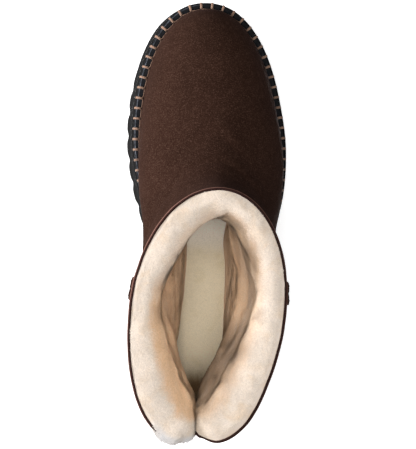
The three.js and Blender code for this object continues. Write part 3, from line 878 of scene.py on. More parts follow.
# Painted shade and painted light: darker on the outer lobe, the front and the inner lip, lighter on the
# walls, the inner lobe and the outer rim
outerLobe = rising(x, middleX - 2, 5) * falling(y, 84, 30)
innerLobe = falling(x, middleX - 3, 5) * falling(y, 80, 24)
innerWall = falling(x, middleX - 6, 6) * falling(y, 130, 20)
innerLip = falling(x, -10, 12) * falling(across, 0.3, 0.25)
outerRim = rising(x, 6, 20) * falling(y, 100, 30)
shade = woolTint["outerLobePaintedShade"] * outerLobe * rising(below, 6, 36)
shade = shade + woolTint["outerLobeTopPaintedShade"] * outerLobe * rising(across, 0.4, 0.3)
shade = shade - rising(below, 8, 8) * (woolTint["wallPaintedLight"] + woolTint["innerWallPaintedLight"] * innerWall)
shade = shade - woolTint["innerLobePaintedLight"] * innerLobe * rising(below, 4, 6)
shade = shade + woolTint["frontPaintedShade"] * outerFront * rising(across, 0.5, 0.35) * falling(below, 34, 16)
nearTop = woolTint["innerLipPaintedShade"] * innerLip - woolTint["outerRimPaintedLight"] * outerRim
shade = shade + nearTop * falling(below, 10, 6)
shade = np.clip(shade * (1 + woolTint["patchy"] * noiseAt(pileGrid, 9, 17)), -0.55, 0.6) * shown

# Where the strands grow
rimCover = ((rows >= 8) & (rows < rimCount)) * np.ones(2 * n)
rimCover = np.maximum(rimCover, (rows >= 2) * (rows < rimCount) * (spillHere > 0.3))
wallCover = ((rows >= rimCount) & (rows < shownCount - 6)) * falling(below, 130, 30) * falling(y, 156, 14)
pileLining = makePiece("pileLining", pileGrid, latticeFaces(len(pileGrid), 2 * n, True), wool, {
    "rootNormal": unit(pileFacing + [0, 0, pile["softUp"]]), "depth": depth, "warmth": warmth, "pale": pale,
    "shade": shade, "rimCover": rimCover, "wallCover": wallCover})
print("pile lining made")

# Fleece footbed, domed softly inside the walls
footbed = {
    "columns": 120,
    "rings": 22,
    "margin": -2.2,  # its edge goes this far under the walls
    "height": 8.0,
    "dome": 1.6,
    "tufts": 0.5,
    "fineClumps": 0.25,
    "broadClumps": 0.6,
    "heelPaintedShade": 0.75,  # painted shade: brown deep at the heel
    # painted light at the toe and over the rear half, painted shade along the inner edge
    "toePalePaintedLight": 0.35,
    "toePaintedLight": 0.33,
    "rearPaintedLight": 0.12,
    "innerEdgePaintedShade": 0.3,
}
edgeProfile = ((0.3, 0), (2.5, -0.2), (4.8, 0), (6.4, 0.5), (7.5, 1.5))  # rise, inset


def footbedGrid():
    floorPair = outerGrid([0, 0.4], footbed["columns"])
    outward = unit(gridNormals(floorPair)[0][:, :2])
    rim = floorPair[0][:, :2] - outward * (wallAt(floorPair[0][:, 1:2]) + footbed["margin"])
    rim[:, 0] += pile["cavityShift"]
    rows = []
    for rise, inset in edgeProfile:
        plan = offsetRing(rim, -inset)
        rows.append(np.column_stack([plan, platformAt(plan[:, 1]) + rise]))
    plan = offsetRing(rim, -2.6)
    middleY = np.clip(plan[:, 1], plan[:, 1].min() + 14, plan[:, 1].max() - 18)
    middle = np.column_stack([np.interp(middleY, soleRows["y"], soleRows["centre"]), middleY])
    for share in np.linspace(0, 1, footbed["rings"]):
        spot = mix(plan, middle, share)
        rise = footbed["height"] + footbed["dome"] * (1 - (1 - share) ** 2) - footbed["dome"]
        rows.append(np.column_stack([spot, platformAt(spot[:, 1]) + rise]))
    return np.array(rows)


bedGrid = footbedGrid()
bedFacing = gridNormals(bedGrid)
bedFacing[6:] = [0, 0, 1]
bedTufts = footbed["tufts"] * (0.5 - tuftsAt(bedGrid, 8, 5)) + footbed["fineClumps"] * noiseAt(bedGrid, 3, 6)
bedTufts = bedTufts + footbed["broadClumps"] * noiseAt(bedGrid, 22, 7)
bedTufts[:2] = 0
bedTufts[-1] = bedTufts[-2].mean()
bedGrid = bedGrid + bedFacing * bedTufts[..., None]
bedColumns = bedGrid.shape[1]
bedFaces = latticeFaces(len(bedGrid), bedColumns) + capFaces(bedColumns, 0, True)
x, y = bedGrid[..., 0], bedGrid[..., 1]
# Painted shade and painted light: brown at the heel and dark along the inner edge, lighter at the toe and
# over the rear half
bedHeelShade = footbed["heelPaintedShade"] * falling(y, 45, 15) + 0.06 * falling(y, 72, 30)
bedShade = -0.02 - footbed["toePaintedLight"] * rising(y, 112, 20) - footbed["rearPaintedLight"] * falling(y, 84, 24)
bedShade = bedShade - 0.16 * hump(y - 50, 9)
bedShade = bedShade + footbed["innerEdgePaintedShade"] * falling(x, -13, 7) * falling(y, 104, 40)
footbedFleece = makePiece("footbedFleece", bedGrid, bedFaces, footbedWool, {
    "rootNormal": unit(bedFacing + [0, 0, pile["softUp"]]), "depth": bedHeelShade, "warmth": bedHeelShade * 0.5,
    "pale": footbed["toePalePaintedLight"] * rising(y, 112, 14), "shade": bedShade,
    "cover": (np.arange(len(bedGrid)) >= 3)[:, None] * np.ones(bedColumns)})
cleanMesh(footbedFleece.data, lambda work: bmesh.ops.remove_doubles(work, verts=work.verts, dist=0.00002))
print("footbed made")

# Fibres: bent strands scattered over the pile by geometry nodes, their sizes in millimetres
fibres = {
    "rim": {"cover": "rimCover", "perSquareCm": 560, "length": 1.5, "radius": 0.11, "lean": 0.55,
            "swirl": 70.0, "seed": 11},
    "wall": {"cover": "wallCover", "perSquareCm": 160, "length": 2.3, "radius": 0.14, "lean": 0.66,
             "swirl": 60.0, "seed": 23},
    "bed": {"cover": "cover", "perSquareCm": 300, "length": 1.2, "radius": 0.11, "lean": 0.62,
            "swirl": 55.0, "seed": 37},
    "shortest": 0.7,  # as a share of the length
    "longest": 1.15,
    "bend": -5.0,  # at the tip, in radii
    "taper": 0.72,
    "scatter": 0.09,  # how far each strand strays from its lock
    "lit": ((-0.45, -0.45, 2.2), (0.45, 0.45, 3.4)),  # each is shaded as if it faced up, within this range
}


def geometryTree(name, sockets):
    tree = bpy.data.node_groups.new(name, "GeometryNodeTree")
    addSockets(tree, [("Geometry", "Geometry", "INPUT", None)])
    addSockets(tree, [(key, kind, "INPUT", default) for key, kind, default in sockets])
    addSockets(tree, [("Geometry", "Geometry", "OUTPUT", None)])
    return tree, addNode(tree, "NodeGroupInput").outputs


def namedValue(tree, name, kind="FLOAT"):
    return liveOutput(addNode(tree, "GeometryNodeInputNamedAttribute", {"Name": name}, data_type=kind))


def storeValue(tree, geometry, name, value, domain, kind="FLOAT"):
    inputs = {"Geometry": geometry, "Name": name, "Value": value}
    return addNode(tree, "GeometryNodeStoreNamedAttribute", inputs, data_type=kind, domain=domain).outputs[0]


def randomValue(tree, low, high, seed, shift=0):
    kind = "FLOAT_VECTOR" if isinstance(low, tuple) else "FLOAT"
    if shift:
        seed = calc(tree, "ADD", seed, shift)
    inputs = {"Min": low, "Max": high, "Seed": seed}
    return liveOutput(addNode(tree, "FunctionNodeRandomValue", inputs, data_type=kind))


def turnTo(tree, up, side, sideAxis):  # the rotation that aims Z along up and the named axis along side
    return addNode(tree, "FunctionNodeAxesToRotation", {0: up, 1: side},
                   primary_axis="Z", secondary_axis=sideAxis).outputs[0]


def placeCopies(tree, points, shape, turn, scale):
    return addNode(tree, "GeometryNodeInstanceOnPoints", {
        "Points": points, "Instance": shape, "Rotation": turn, "Scale": scale}).outputs[0]


def finishTree(tree, geometry, material):
    whole = addNode(tree, "GeometryNodeRealizeInstances", {"Geometry": geometry}).outputs[0]
    done = addNode(tree, "GeometryNodeSetMaterial", {"Geometry": whole, "Material": material}).outputs[0]
    addNode(tree, "NodeGroupOutput", {0: done})
    return tree


def bentStrand(tree):  # one flat tapering strand, a unit long and a unit wide to each side
    line = addNode(tree, "GeometryNodeCurvePrimitiveLine", {"End": (0, 0, 1)}).outputs[0]
    line = addNode(tree, "GeometryNodeResampleCurve", {"Curve": line, "Count": 3}).outputs[0]
    along = addNode(tree, "GeometryNodeSplineParameter").outputs["Factor"]
    bend = times(tree, calc(tree, "POWER", along, 2.0), fibres["bend"])
    offset = addNode(tree, "ShaderNodeCombineXYZ", {"X": bend}).outputs[0]
    line = addNode(tree, "GeometryNodeSetPosition", {"Geometry": line, "Offset": offset}).outputs[0]
    radius = calc(tree, "SUBTRACT", 1.0, times(tree, along, fibres["taper"]))
    line = addNode(tree, "GeometryNodeSetCurveRadius", {"Curve": line, "Radius": radius}).outputs[0]
    line = storeValue(tree, line, "tip", along, "POINT")
    flat = addNode(tree, "GeometryNodeCurvePrimitiveLine", {"Start": (-1, 0, 0), "End": (1, 0, 0)}).outputs[0]
    return addNode(tree, "GeometryNodeCurveToMesh", {"Curve": line, "Profile Curve": flat}).outputs[0]


def fibreTree():
    tree, source = geometryTree("pileFibres", [
        ("Cover name", "String", ""), ("Strands per square metre", "Float", 1e6),
        ("Length", "Float", 0.005), ("Radius", "Float", 0.0002), ("Lean", "Float", 0.6),
        ("Swirl scale", "Float", 60.0), ("Seed", "Int", 0), ("Material", "Material", None),
    ])
    seed = source["Seed"]
    amount = times(tree, namedValue(tree, source["Cover name"]), source["Strands per square metre"])
    spread = addNode(tree, "GeometryNodeDistributePointsOnFaces", {
        "Mesh": source["Geometry"], "Density": amount, "Seed": seed}, distribute_method="RANDOM")
    normal = spread.outputs["Normal"]
    raised = vectorCalc(tree, "ADD", normal, randomValue(tree, *fibres["lit"], seed, 2))
    raised = vectorCalc(tree, "NORMALIZE", raised)
    points = storeValue(tree, spread.outputs["Points"], "rootNormal", raised, "POINT", "FLOAT_VECTOR")
    place = addNode(tree, "GeometryNodeInputPosition").outputs[0]
    flow = addNode(tree, "ShaderNodeTexNoise", {
        "Vector": place, "Scale": source["Swirl scale"], "Detail": 2.0})
    flow = vectorCalc(tree, "SUBTRACT", flow.outputs["Color"], (0.5, 0.5, 0.5))
    stray = fibres["scatter"]
    flow = vectorCalc(tree, "ADD", flow, randomValue(tree, (-stray,) * 3, (stray,) * 3, seed))
    outward = vectorCalc(tree, "SCALE", normal, scale=vectorCalc(tree, "DOT_PRODUCT", flow, normal))
    flat = vectorCalc(tree, "NORMALIZE", vectorCalc(tree, "SUBTRACT", flow, outward))
    upright = vectorCalc(tree, "SCALE", normal, scale=calc(tree, "SUBTRACT", 1.0, source["Lean"]))
    aim = vectorCalc(tree, "ADD", upright, vectorCalc(tree, "SCALE", flat, scale=source["Lean"]))
    turn = turnTo(tree, aim, normal, "X")
    length = times(tree, source["Length"], randomValue(tree, fibres["shortest"], fibres["longest"], seed, 5))
    scale = addNode(tree, "ShaderNodeCombineXYZ", {"X": source["Radius"], "Y": source["Radius"], "Z": length})
    placed = placeCopies(tree, points, bentStrand(tree), turn, scale.outputs[0])
    toned = storeValue(tree, placed, "strandTone", randomValue(tree, 0.0, 1.0, seed, 9), "INSTANCE")
    return finishTree(tree, toned, source["Material"])


def bakeNodes(piece, tree, values, smooth=True):  # the tree's result becomes the piece's plain mesh
    modifier = piece.modifiers.new("nodes", "NODES")
    modifier.node_group = tree
    for item in tree.interface.items_tree:
        if item.item_type == "SOCKET" and item.in_out == "INPUT" and item.name in values:
            modifier[item.identifier] = values[item.name]
    graph = bpy.context.evaluated_depsgraph_get()
    graph.update()
    made = bpy.data.meshes.new_from_object(
        piece.evaluated_get(graph), preserve_all_data_layers=True, depsgraph=graph)
    piece.modifiers.remove(modifier)
    piece.data = made
    made.name = piece.name
    made.polygons.foreach_set("use_smooth", [smooth] * len(made.polygons))
    return piece


def growFibres(name, over, kind, material):
    values = fibres[kind]
    piece = bpy.data.objects.new(name, over.data.copy())
    scene.collection.objects.link(piece)
    bakeNodes(piece, pileFibres, {
        "Cover name": values["cover"], "Strands per square metre": values["perSquareCm"] * 1e4,
        "Length": values["length"] / 1000, "Radius": values["radius"] / 1000, "Lean": values["lean"],
        "Swirl scale": values["swirl"], "Seed": values["seed"], "Material": material,
    }, False)
    print(name, "triangles:", sum(len(p.vertices) - 2 for p in piece.data.polygons))
    return piece


pileFibres = fibreTree()
rimFibres = growFibres("rimFibres", pileLining, "rim", woolStrands)
wallFibres = growFibres("wallFibres", pileLining, "wall", woolStrands)
footbedFibres = growFibres("footbedFibres", footbedFleece, "bed", footbedStrands)

# Welt band with its rounded outer edge, stitch holes on the ledge and a stitch channel on its face
band = {
    "stitches": 93,
    "columnsPerStitch": 8,
    "edgeRadius": 1.25,
    "holeDepth": 0.9,
    "holeIn": 0.75,  # from the suede to the hole's middle
    "channelRise": 3.4,  # above the platform
    "channelDepth": 0.45,
    "draft": 0.035,  # the face leans in on the way up
    "stitchDent": 0.12,
    "ledgeGroove": 0.25,  # against the suede
    "cornerHighlight": 0.7,
}
bandColumns = band["stitches"] * band["columnsPerStitch"]
bandPlan = bandRing(bandColumns // 2)
bandOut = ringNormals(bandPlan)
innerPair = outerGrid([0, 0.55, 1.1], bandColumns // 2)
innerFacing = gridNormals(innerPair)


def bandInside(k, rise):
    plan = innerPair[k][:, :2] + unit(innerFacing[k][:, :2]) * size["gap"]
    return np.column_stack([plan, platformAt(plan[:, 1]) + rise])


def bandOutside(rise, out):
    plan = bandPlan + bandOut * np.reshape(out, (-1, 1))
    return np.column_stack([plan, platformAt(plan[:, 1]) + rise])


phase = np.arange(bandColumns) % band["columnsPerStitch"] - band["columnsPerStitch"] / 2
atStitch = hump(phase * 0.9, 1.0)
bandRows = []
for rise in np.concatenate([[0.3, 0.8], np.linspace(1.6, 9.4, 19)]):
    channel = band["channelDepth"] * hump(rise - band["channelRise"], 0.7)
    foot = 0.25 * hump(rise - 0.3, 0.4)
    bandRows.append(bandOutside(
        rise, -foot - band["draft"] * rise - channel - band["stitchDent"] * atStitch * ease(rise / 8)))
radius = band["edgeRadius"]
for angle in arc(10, 90, 8):
    bandRows.append(bandOutside(10.8 - radius + radius * math.sin(angle),
                                -0.35 - radius + radius * math.cos(angle) - band["stitchDent"] * atStitch))
ledgeInner, ledgeOuter = bandInside(2, size["bandHeight"]), bandRows[-1]
ledgeWidth = np.linalg.norm(ledgeInner[:, :2] - ledgeOuter[:, :2], axis=1)
for share in np.linspace(0, 1, 14)[1:]:
    row = mix(ledgeOuter, ledgeInner, share)
    fromSuede = ledgeWidth * (1 - share)
    row[:, 2] -= band["holeDepth"] * atStitch**1.5 * hump(fromSuede - band["holeIn"], 0.65)
    row[:, 2] -= band["stitchDent"] * atStitch * (1 - hump(fromSuede, 0.8))
    row[:, 2] -= band["ledgeGroove"] * hump(fromSuede, 0.35)
    bandRows.append(row)
bandRows.append(bandInside(2, size["bandHeight"] - 2))
bandRows.append(bandInside(0, 0.3))
cornerHighlight = np.zeros((len(bandRows), bandColumns))
cornerRow = 26
uneven = (1 - 0.6 * atStitch) * (0.6 + 0.5 * noiseAt(bandRows[cornerRow], 9, 14))
litSide = uneven * falling(bandRows[cornerRow][:, 0], 0, 20)  # painted highlight on the inner side only, the side the key lamp lights
cornerHighlight[cornerRow - 1:cornerRow + 2] = band["cornerHighlight"] * np.array([0.5, 1, 0.5])[:, None] * litSide
bandFaces = latticeFaces(len(bandRows), bandColumns, True)
weltBand = makePiece("weltBand", np.array(bandRows), bandFaces, bandRubber,
                     {"corner": np.clip(cornerHighlight, 0, 1)})
print("welt band made")

# Stitches: one shape each, placed along their rows by geometry nodes
stitching = {
    "whipHalfWidth": 0.78,
    "whipHalfHeight": 0.5,
    "whipLength": 4.32,
    "edgeThread": 0.3,
    "seamPitch": 3.6,
    "seamThread": 0.34,
    "backSeamOut": 3.4,  # from the back seam to its stitch rows
}


def threadMesh(name, path, halfWidth, halfHeight, sides, widthAxis):  # a short thread, with its lay
    path = np.array(path, float)
    along = unit(np.gradient(path, axis=0))
    across = np.array(widthAxis, float)
    points, faces, lay = [], [], []
    runs = runAlong(path) / 5
    for k, spot in enumerate(path):
        lift = np.cross(along[k], across)
        thin = 0.72 if k in (0, len(path) - 1) else 1.0
        for j in range(sides):
            a = 2 * math.pi * j / sides
            points.append(spot + thin * (across * halfWidth * math.cos(a) + lift * halfHeight * math.sin(a)))
    for k in range(len(path) - 1):
        for j in range(sides):
            t = (j + 1) % sides
            faces.append([k * sides + j, k * sides + t, (k + 1) * sides + t, (k + 1) * sides + j])
            lay += [(runs[k + up], (j + turn) / sides) for up, turn in ((0, 0), (0, 1), (1, 1), (1, 0))]
    faces += [list(range(sides))[::-1], list(range((len(path) - 1) * sides, len(path) * sides))]
    lay += [(0.0, 0.0)] * (2 * sides)
    mesh = bpy.data.meshes.new(name)
    mesh.from_pydata([tuple(p * 0.001) for p in points], [], faces)
    mesh.uv_layers.new(name="thread").data.foreach_set("uv", np.ravel(lay))
    cleanMesh(mesh, lambda work: bmesh.ops.recalc_face_normals(work, faces=work.faces))
    return bpy.data.objects.new(name, mesh)


def stitchTree():
    tree, source = geometryTree("stitchRow", [
        ("Stitch", "Object", None), ("Size", "Float", 1.0), ("Jitter", "Float", 0.05), ("Seed", "Int", 0),
        ("Material", "Material", None),
    ])
    lift, run = (namedValue(tree, name, "FLOAT_VECTOR") for name in ("lift", "run"))
    turn = turnTo(tree, lift, run, "Y")
    shape = addNode(tree, "GeometryNodeObjectInfo", {"Object": source["Stitch"]}).outputs["Geometry"]
    wide, high = (calc(tree, "MULTIPLY_ADD", randomValue(tree, -1.0, 1.0, source["Seed"], shift),
                       source["Jitter"], source["Size"]) for shift in (4, 0))
    reach = times(tree, namedValue(tree, "reach"), source["Size"])
    scale = addNode(tree, "ShaderNodeCombineXYZ", {"X": reach, "Y": wide, "Z": high}).outputs[0]
    placed = placeCopies(tree, source["Geometry"], shape, turn, scale)
    return finishTree(tree, placed, source["Material"])


def sewRow(name, spots, lift, run, reach, shape, seed, thread, jitter=0.05):
    row = makePiece(name, spots, [], None, {"lift": lift, "run": run, "reach": reach})
    return bakeNodes(row, stitchRow, {
        "Stitch": shape, "Size": 1.0, "Jitter": jitter, "Seed": seed, "Material": thread})


def sewBand(name, columns, reachAt, *rest):  # a row of stitches along the ledge
    spots = ledgeInner[columns].copy()
    up = np.tile([0, 0, 1.0], (len(spots), 1))
    outward = np.column_stack([bandOut[columns], np.zeros(len(columns))])
    return sewRow(name, spots, up, np.cross([0, 0, 1.0], outward), reachAt(spots, columns), *rest)


def sewAlong(name, line, facing, seed):  # evenly spaced stitches along a line
    run = runAlong(line)
    want = np.arange(2, run[-1] - 1, stitching["seamPitch"])

    def at(where, table):
        return np.stack([np.interp(where, run, table[:, a]) for a in range(3)], 1)

    spots = at(want, line)
    return sewRow(name, spots, unit(at(want, facing)), unit(at(want + 1, line) - spots), np.ones(len(spots)),
                  seamShape, seed, brownThread)


def whipReach(spots, columns):  # from the hole to the band's face, as a share of the stitch's own length
    distance = np.einsum("ij,ij->i", bandPlan[columns] - spots[:, :2], bandOut[columns])
    return distance / (stitching["whipLength"] + 0.3 * rising(spots[:, 0], 0, 20))


def evenReach(spots, columns):
    return np.ones(len(columns))


stitchRow = stitchTree()
whipPath = [(0.8, 0, -1.2), (0.85, 0, -0.1), (1.25, 0, 0.42), (2.2, 0, 0.55), (3.0, 0, 0.5), (3.75, 0, 0.14),
            (4.12, 0, -0.6), (4.28, 0, -1.6), (4.3, 0, -3.6), (4.28, 0, -5.6), (4.1, 0, -6.9), (3.6, 0, -7.7)]
edgePath = [(0.55, -3.2, -0.6), (0.35, -2.7, 0.05), (0.2, -1.6, 0.42), (0.15, 0, 0.62), (0.2, 1.6, 0.42),
            (0.35, 2.7, 0.05), (0.55, 3.2, -0.6)]
whipSize = stitching["whipHalfWidth"], stitching["whipHalfHeight"]
whipShape = threadMesh("whipStitch", whipPath, *whipSize, 8, (0, 1, 0))
edgeShape = threadMesh("edgeStitch", edgePath, *[stitching["edgeThread"]] * 2, 6, (1, 0, 0))
betweenHoles = np.arange(band["stitches"]) * band["columnsPerStitch"]
atHoles = betweenHoles + band["columnsPerStitch"] // 2
whipStitches = sewBand("whipStitches", atHoles, whipReach, whipShape, 5, tanThread)
edgeThread = sewBand("edgeThread", betweenHoles, evenReach, edgeShape, 6, edgeTan, 0.03)
print("band stitches made")

# Side seam strips: thick napped strips with rough cut edges and a row of stitches along each edge
strip = {
    "width": 13,
    "proud": 2.3,
    "rows": 130,
    "across": 21,
    "foot": 100,  # where the strips' middles stand at the welt
    "outerTop": 92,  # and at the collar
    "innerTop": 95,
    "middleGroove": 0.35,
    "roundEdge": 0.5,
    "roughEdge": 0.55,
    "roughFace": 0.25,
    "stitchShare": 0.66,
}


def stripPoint(level, share, side, proud):
    section, low, high = Section(level), Section(level - 0.05), Section(level + 0.05)
    top = strip["outerTop" if side > 0 else "innerTop"]
    y = mix(strip["foot"], top, level / collar) + share * strip["width"] / 2
    up = np.stack([high.x(y, side) - low.x(y, side), 0 * y, high.z(y) - low.z(y)], -1)
    along = np.stack([section.x(y + 1, side) - section.x(y - 1, side), 2 + 0 * y,
                      section.z(y + 1) - section.z(y - 1)], -1)
    out = unit(np.cross(up, along)) * -side
    return np.stack([section.x(y, side), y, section.z(y)], -1) + out * np.reshape(proud, (-1, 1)), out


def makeStrip(name, side):
    levels = np.linspace(1.25, collar - 0.3, strip["rows"])
    shares = np.sin(np.linspace(-1, 1, strip["across"]) * math.pi / 2)
    aside = np.abs(shares)
    rows, shade = [], []
    for k, level in enumerate(levels):
        end = min(k, len(levels) - 1 - k)
        top = strip["proud"] * (0.7 + 0.3 * ease(end / 2)) - strip["middleGroove"] * hump(shares, 0.1)
        spot, out = stripPoint(level, shares, side, top - strip["roundEdge"] * aside**8)
        rough = noiseAt(spot, 1.6, 3) * strip["roughEdge"] * (0.25 + 0.75 * aside**3)
        rough = rough + strip["roughFace"] * noiseAt(spot, 5, 4)
        spot = spot + out * rough[:, None]
        spot[:, 1] += strip["roughEdge"] * np.sign(shares) * aside**6 * noiseAt(spot, 2.1, 8)
        base, _ = stripPoint(level, shares[::-1] * 0.97, side, 0 * shares)
        rows.append(np.concatenate([spot, base]))
        shade.append(np.concatenate([aside**8, np.ones(len(shares))]))
    columns = 2 * strip["across"]
    faces = latticeFaces(len(rows), columns)
    for start in (0, (len(rows) - 1) * columns):
        for i in range(strip["across"] - 1):
            face = [start + i, start + i + 1, start + columns - 2 - i, start + columns - 1 - i]
            faces.append(face if start == 0 else face[::-1])
    if side > 0:
        faces = [face[::-1] for face in faces]
    return makePiece(name, np.array(rows), faces, stripSuede, {"cutEdge": np.array(shade)})


def stripSeam(name, side, share, seed):
    found = [stripPoint(level, np.array([share * strip["stitchShare"]]), side, strip["proud"] + 0.12)
             for level in np.linspace(1.6, collar - 0.5, 400)]
    line, facing = (np.array([pair[k][0] for pair in found]) for k in (0, 1))
    return sewAlong(name, line, facing, seed)


def backSeam(name, offset, seed):
    line, facing = [], []
    for k in np.arange(len(skinLevels))[18:-6]:
        section = Section(skinLevels[k])
        near = np.where(skinGrid[k, :, 1] < section.back + 40)[0]
        order = near[np.argsort(skinGrid[k, near, 0])]
        spot = seamMiddle(section) + offset
        x, y, z = skinGrid[k, order].T
        line.append([spot, np.interp(spot, x, y), np.interp(spot, x, z)])
        facing.append([np.interp(spot, x, part) for part in skinFacing[k, order].T])
    facing = unit(np.array(facing))
    return sewAlong(name, np.array(line) + facing * 0.12, facing, seed)


seamPath = [(0, -1.5, -0.5), (0, -1.25, -0.02), (0, -0.6, 0.2),
            (0, 0.6, 0.2), (0, 1.25, -0.02), (0, 1.5, -0.5)]
seamShape = threadMesh("seamStitch", seamPath, *[stitching["seamThread"]] * 2, 6, (1, 0, 0))
stripOuter, stripInner = makeStrip("seamStripOuter", 1), makeStrip("seamStripInner", -1)
seamRows = [
    stripSeam("stripStitchesOuterFront", 1, 1, 20),
    stripSeam("stripStitchesOuterBack", 1, -1, 21),
    stripSeam("stripStitchesInnerFront", -1, 1, 22),
    stripSeam("stripStitchesInnerBack", -1, -1, 23),
    backSeam("backSeamStitchesOuter", stitching["backSeamOut"], 31),
    backSeam("backSeamStitchesInner", -stitching["backSeamOut"], 32),
]
print("seam strips and seams made")

# Outsole: a waved sidewall over bevelled side lugs and chevron bars
outsole = {
    "stepsPerLug": 12,
    "scallop": 0.95,  # depth of the waves' notches
    "outerShare": 0.5,  # how much of the flare and the waves the outer side has
    "bevel": 0.8,
    "innerEdge": 15,  # from the sidewall to the channel that runs round inside the side lugs
    "chevron": 5,  # how far the bars' middles point forwards
    "wallLineRise": 0.72,  # shallow line round the sidewall, as a share of its height
    "wallHeight": 30,
    "sunk": 0.5,  # how far the lugs reach up into the sole
    "sharpFrom": 38,  # degrees
}
wallShares = [0, 0.28, 0.46, 1]
flareAt = column([0.9, 1, 0.5, 0], wallShares)
swellAt = column([0.9, 1, 0.2, 0], wallShares)
steps = outsole["stepsPerLug"]
soleColumns = 2 * size["lugsPerSide"] * steps
solePlan = bandRing(soleColumns // 2)
soleOut = ringNormals(solePlan)


def soleWall(index, share):  # a point of the sidewall at a fractional column and a share of its height
    index = np.asarray(index, float)
    low = np.floor(index).astype(int) % soleColumns
    part = (index - np.floor(index))[:, None]
    plan = mix(solePlan[low], solePlan[(low + 1) % soleColumns], part)
    out = unit(mix(soleOut[low], soleOut[(low + 1) % soleColumns], part))
    scallop = 0.75 - outsole["scallop"] * np.abs(np.cos(math.pi * index / steps)) ** 5
    scallop = mix(scallop, 0.1, rising(plan[:, 1], 212, 26))  # no waves round the toe
    calm = 1 - 0.6 * rising(plan[:, 1], 258, 18)
    calm = calm * mix(outsole["outerShare"], 1, falling(plan[:, 0], 10, 20))
    flare = (size["flare"] - size["ledge"]) * flareAt(share)
    reach = size["ledge"] + calm * (flare + swellAt(share) * scallop)
    return plan, out, reach


def soleRow(share, inset=0.0, lift=0.0):
    plan, out, reach = soleWall(np.arange(soleColumns), share)
    spot = plan + out * (reach - inset)[:, None]
    return np.column_stack([spot, mix(bottomAt(spot[:, 1]), platformAt(spot[:, 1]), share) + lift])


soleRows3d = []
lowShare = size["lugDepth"] / outsole["wallHeight"]
for share in np.concatenate([[lowShare], np.linspace(0.2, 0.6, 15), np.linspace(0.63, 0.95, 14)]):
    fromLine = (share - outsole["wallLineRise"]) * outsole["wallHeight"]
    soleRows3d.append(soleRow(share, 0.45 * hump(fromLine, 0.8)))
soleRows3d[0][:, 2] = bottomAt(soleRows3d[0][:, 1]) + size["lugDepth"]
for degrees in (30, 60, 90):  # the rounded top edge
    angle = math.radians(degrees)
    lift = 0.03 * outsole["wallHeight"] * math.sin(angle)
    soleRows3d.append(soleRow(0.97, 0.8 - 0.8 * math.cos(angle), lift))
solePoints = list(np.concatenate(soleRows3d))
soleFaces = latticeFaces(len(soleRows3d), soleColumns)
soleFaces += capFaces(soleColumns, 0, True)
soleFaces += capFaces(soleColumns, (len(soleRows3d) - 1) * soleColumns, False)


def insetPolygon(points, by):
    before, after = points - np.roll(points, 1, 0), np.roll(points, -1, 0) - points
    a, b = unit(before), unit(after)
    na, nb = np.stack([-a[:, 1], a[:, 0]], 1), np.stack([-b[:, 1], b[:, 0]], 1)
    middle = unit(na + nb)
    return points + middle * (by / np.maximum((middle * na).sum(1), 0.5))[:, None]


def addBlock(plan):  # a lug: bevelled below, sunk a little into the sole above
    x, y = plan[:, 0], plan[:, 1]
    if (x * np.roll(y, -1) - np.roll(x, -1) * y).sum() < 0:
        plan = plan[::-1]
    start, count, bevel = len(solePoints), len(plan), outsole["bevel"]
    height = size["lugDepth"] + outsole["sunk"]
    for inset, rise in ((bevel, 0), (bevel * 0.3, bevel * 0.3), (0, bevel), (0, height)):
        spot = insetPolygon(plan, inset)
        solePoints.extend(np.column_stack([spot, bottomAt(spot[:, 1]) + rise]))
    for k in range(3):
        for i in range(count):
            t = (i + 1) % count
            low, high = start + k * count, start + (k + 1) * count
            soleFaces.append([low + i, low + t, high + t, high + i])
    foot = insetPolygon(plan, bevel).mean(0)
    solePoints.append(np.array([foot[0], foot[1], bottomAt(foot[1])]))
    top = plan.mean(0)
    solePoints.append(np.array([top[0], top[1], bottomAt(top[1]) + height]))
    for i in range(count):
        t = (i + 1) % count
        soleFaces.append([start + t, start + i, start + 4 * count])
        soleFaces.append([start + 3 * count + i, start + 3 * count + t, start + 4 * count + 1])


stepLength = np.linalg.norm(np.diff(solePlan, axis=0), axis=1).mean()
halfGroove = size["groove"] / 2 / stepLength
for lug in range(2 * size["lugsPerSide"]):
    first, last = lug * steps + halfGroove, (lug + 1) * steps - halfGroove
    plan, out, reach = soleWall(np.linspace(first, last, 11), 0.1)
    outerSide = plan + out * (reach - 0.05)[:, None]
    plan, out, reach = soleWall(np.linspace(last, first, 5), 0.1)
    innerSide = plan - out * (outsole["innerEdge"] - size["groove"] / 2)
    addBlock(np.concatenate([outerSide, innerSide]))


def channelEnd(index, extra=0.0):
    plan, out, _ = soleWall([index], 0.1)
    return (plan - out * (outsole["innerEdge"] + extra))[0]


def chevronLine(lug, shiftY):  # the edge of a bar beside one channel
    a, b = channelEnd(lug * steps), channelEnd(-lug * steps)
    apex = (a + b) / 2 + [0, outsole["chevron"]]
    trim = size["groove"] / 2 + 0.6
    a, b = a + unit(apex - a) * trim, b + unit(apex - b) * trim
    line = np.array([a, mix(a, apex, 0.5), apex, mix(b, apex, 0.5), b])
    line[:, 1] += shiftY
    return line


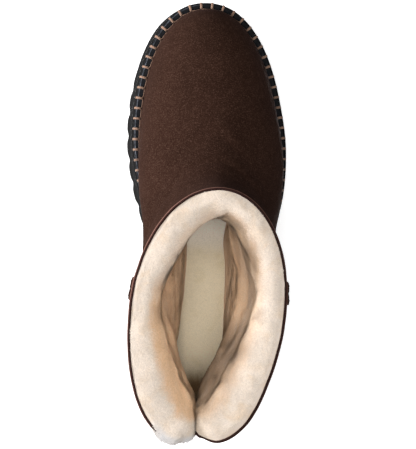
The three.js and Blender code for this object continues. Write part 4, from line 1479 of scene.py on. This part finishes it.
halfWide = size["groove"] / 2 + 0.1
for lug in range(1, size["lugsPerSide"] - 2):
    addBlock(np.concatenate([chevronLine(lug, -halfWide), chevronLine(lug + 1, halfWide)[::-1]]))
for lug, sign in ((1, 1), (size["lugsPerSide"] - 2, -1)):
    middleColumn = 0 if sign > 0 else soleColumns // 2
    reachColumns = steps - 2.5
    columns = middleColumn + np.linspace(-reachColumns, reachColumns, 13)
    ring = np.array([channelEnd(c, size["groove"] / 2) for c in columns])
    edge = chevronLine(lug, sign * halfWide)
    if np.linalg.norm(ring[-1] - edge[0]) > np.linalg.norm(ring[-1] - edge[-1]):
        edge = edge[::-1]
    addBlock(np.concatenate([ring, edge]))
ruggedSole = makePiece("ruggedSole", np.array(solePoints), soleFaces, outsoleRubber)
ruggedSole.data.set_sharp_from_angle(angle=math.radians(outsole["sharpFrom"]))
print("outsole made:", len(soleFaces), "faces")

# Bodies, and the CAD nodes that each piece stands for
finishPiece(suedeSkin, ["upper"])
finishPiece(pileLining, ["upper"])
finishPiece(footbedFleece, ["insole"])
for fibrePiece in (rimFibres, wallFibres, footbedFibres):
    finishPiece(fibrePiece)
finishPiece(weltBand, ["welt_band"])
finishPiece(stripOuter, ["seam_strip_outer"])
finishPiece(stripInner, ["seam_strip_inner"])
finishPiece(ruggedSole, ["outsole"])
for row in [whipStitches, edgeThread] + seamRows:
    finishPiece(row)
for shape in (whipShape, edgeShape, seamShape):
    bpy.data.objects.remove(shape)

# Floor
floor = {"halfSide": 9, "below": 0.00015, "glow": 0.6, "bounce": 0.25}
floorMesh = bpy.data.meshes.new("floor")
halfSide = floor["halfSide"]
corners = [(x * halfSide, y * halfSide, -floor["below"]) for x, y in ((-1, -1), (1, -1), (1, 1), (-1, 1))]
floorMesh.from_pydata(corners, [], [(0, 1, 2, 3)])
floorMaterial, floorTree, floorShader = newMaterial("paleFloor", {
    "Base Color": (0.9, 0.9, 0.9, 1), "Roughness": 1.0, "Specular IOR Level": 0.0,
    "Emission Color": (1, 1, 1, 1), "Emission Strength": floor["glow"],
})[:3]
clear = addNode(floorTree, "ShaderNodeBsdfTransparent").outputs[0]
path = addNode(floorTree, "ShaderNodeLightPath").outputs
direct, shadowing = path["Is Camera Ray"], path["Is Shadow Ray"]
bounce = (floor["bounce"],) * 3 + (1,)
dim = addNode(floorTree, "ShaderNodeBsdfDiffuse", {"Color": bounce}).outputs[0]
lit = addNode(floorTree, "ShaderNodeMixShader", {0: direct, 1: dim, 2: floorShader.outputs[0]}).outputs[0]
facingAway = addNode(floorTree, "ShaderNodeNewGeometry").outputs["Backfacing"]
away = calc(floorTree, "MAXIMUM", facingAway, shadowing)  # the lamp below shines through
seen = addNode(floorTree, "ShaderNodeMixShader", {0: away, 1: lit, 2: clear})
floorTree.links.new(seen.outputs[0], floorTree.nodes["Material Output"].inputs["Surface"])
floorMesh.materials.append(floorMaterial)
floorPiece = bpy.data.objects.new("floor", floorMesh)
scene.collection.objects.link(floorPiece)
print("floor made")
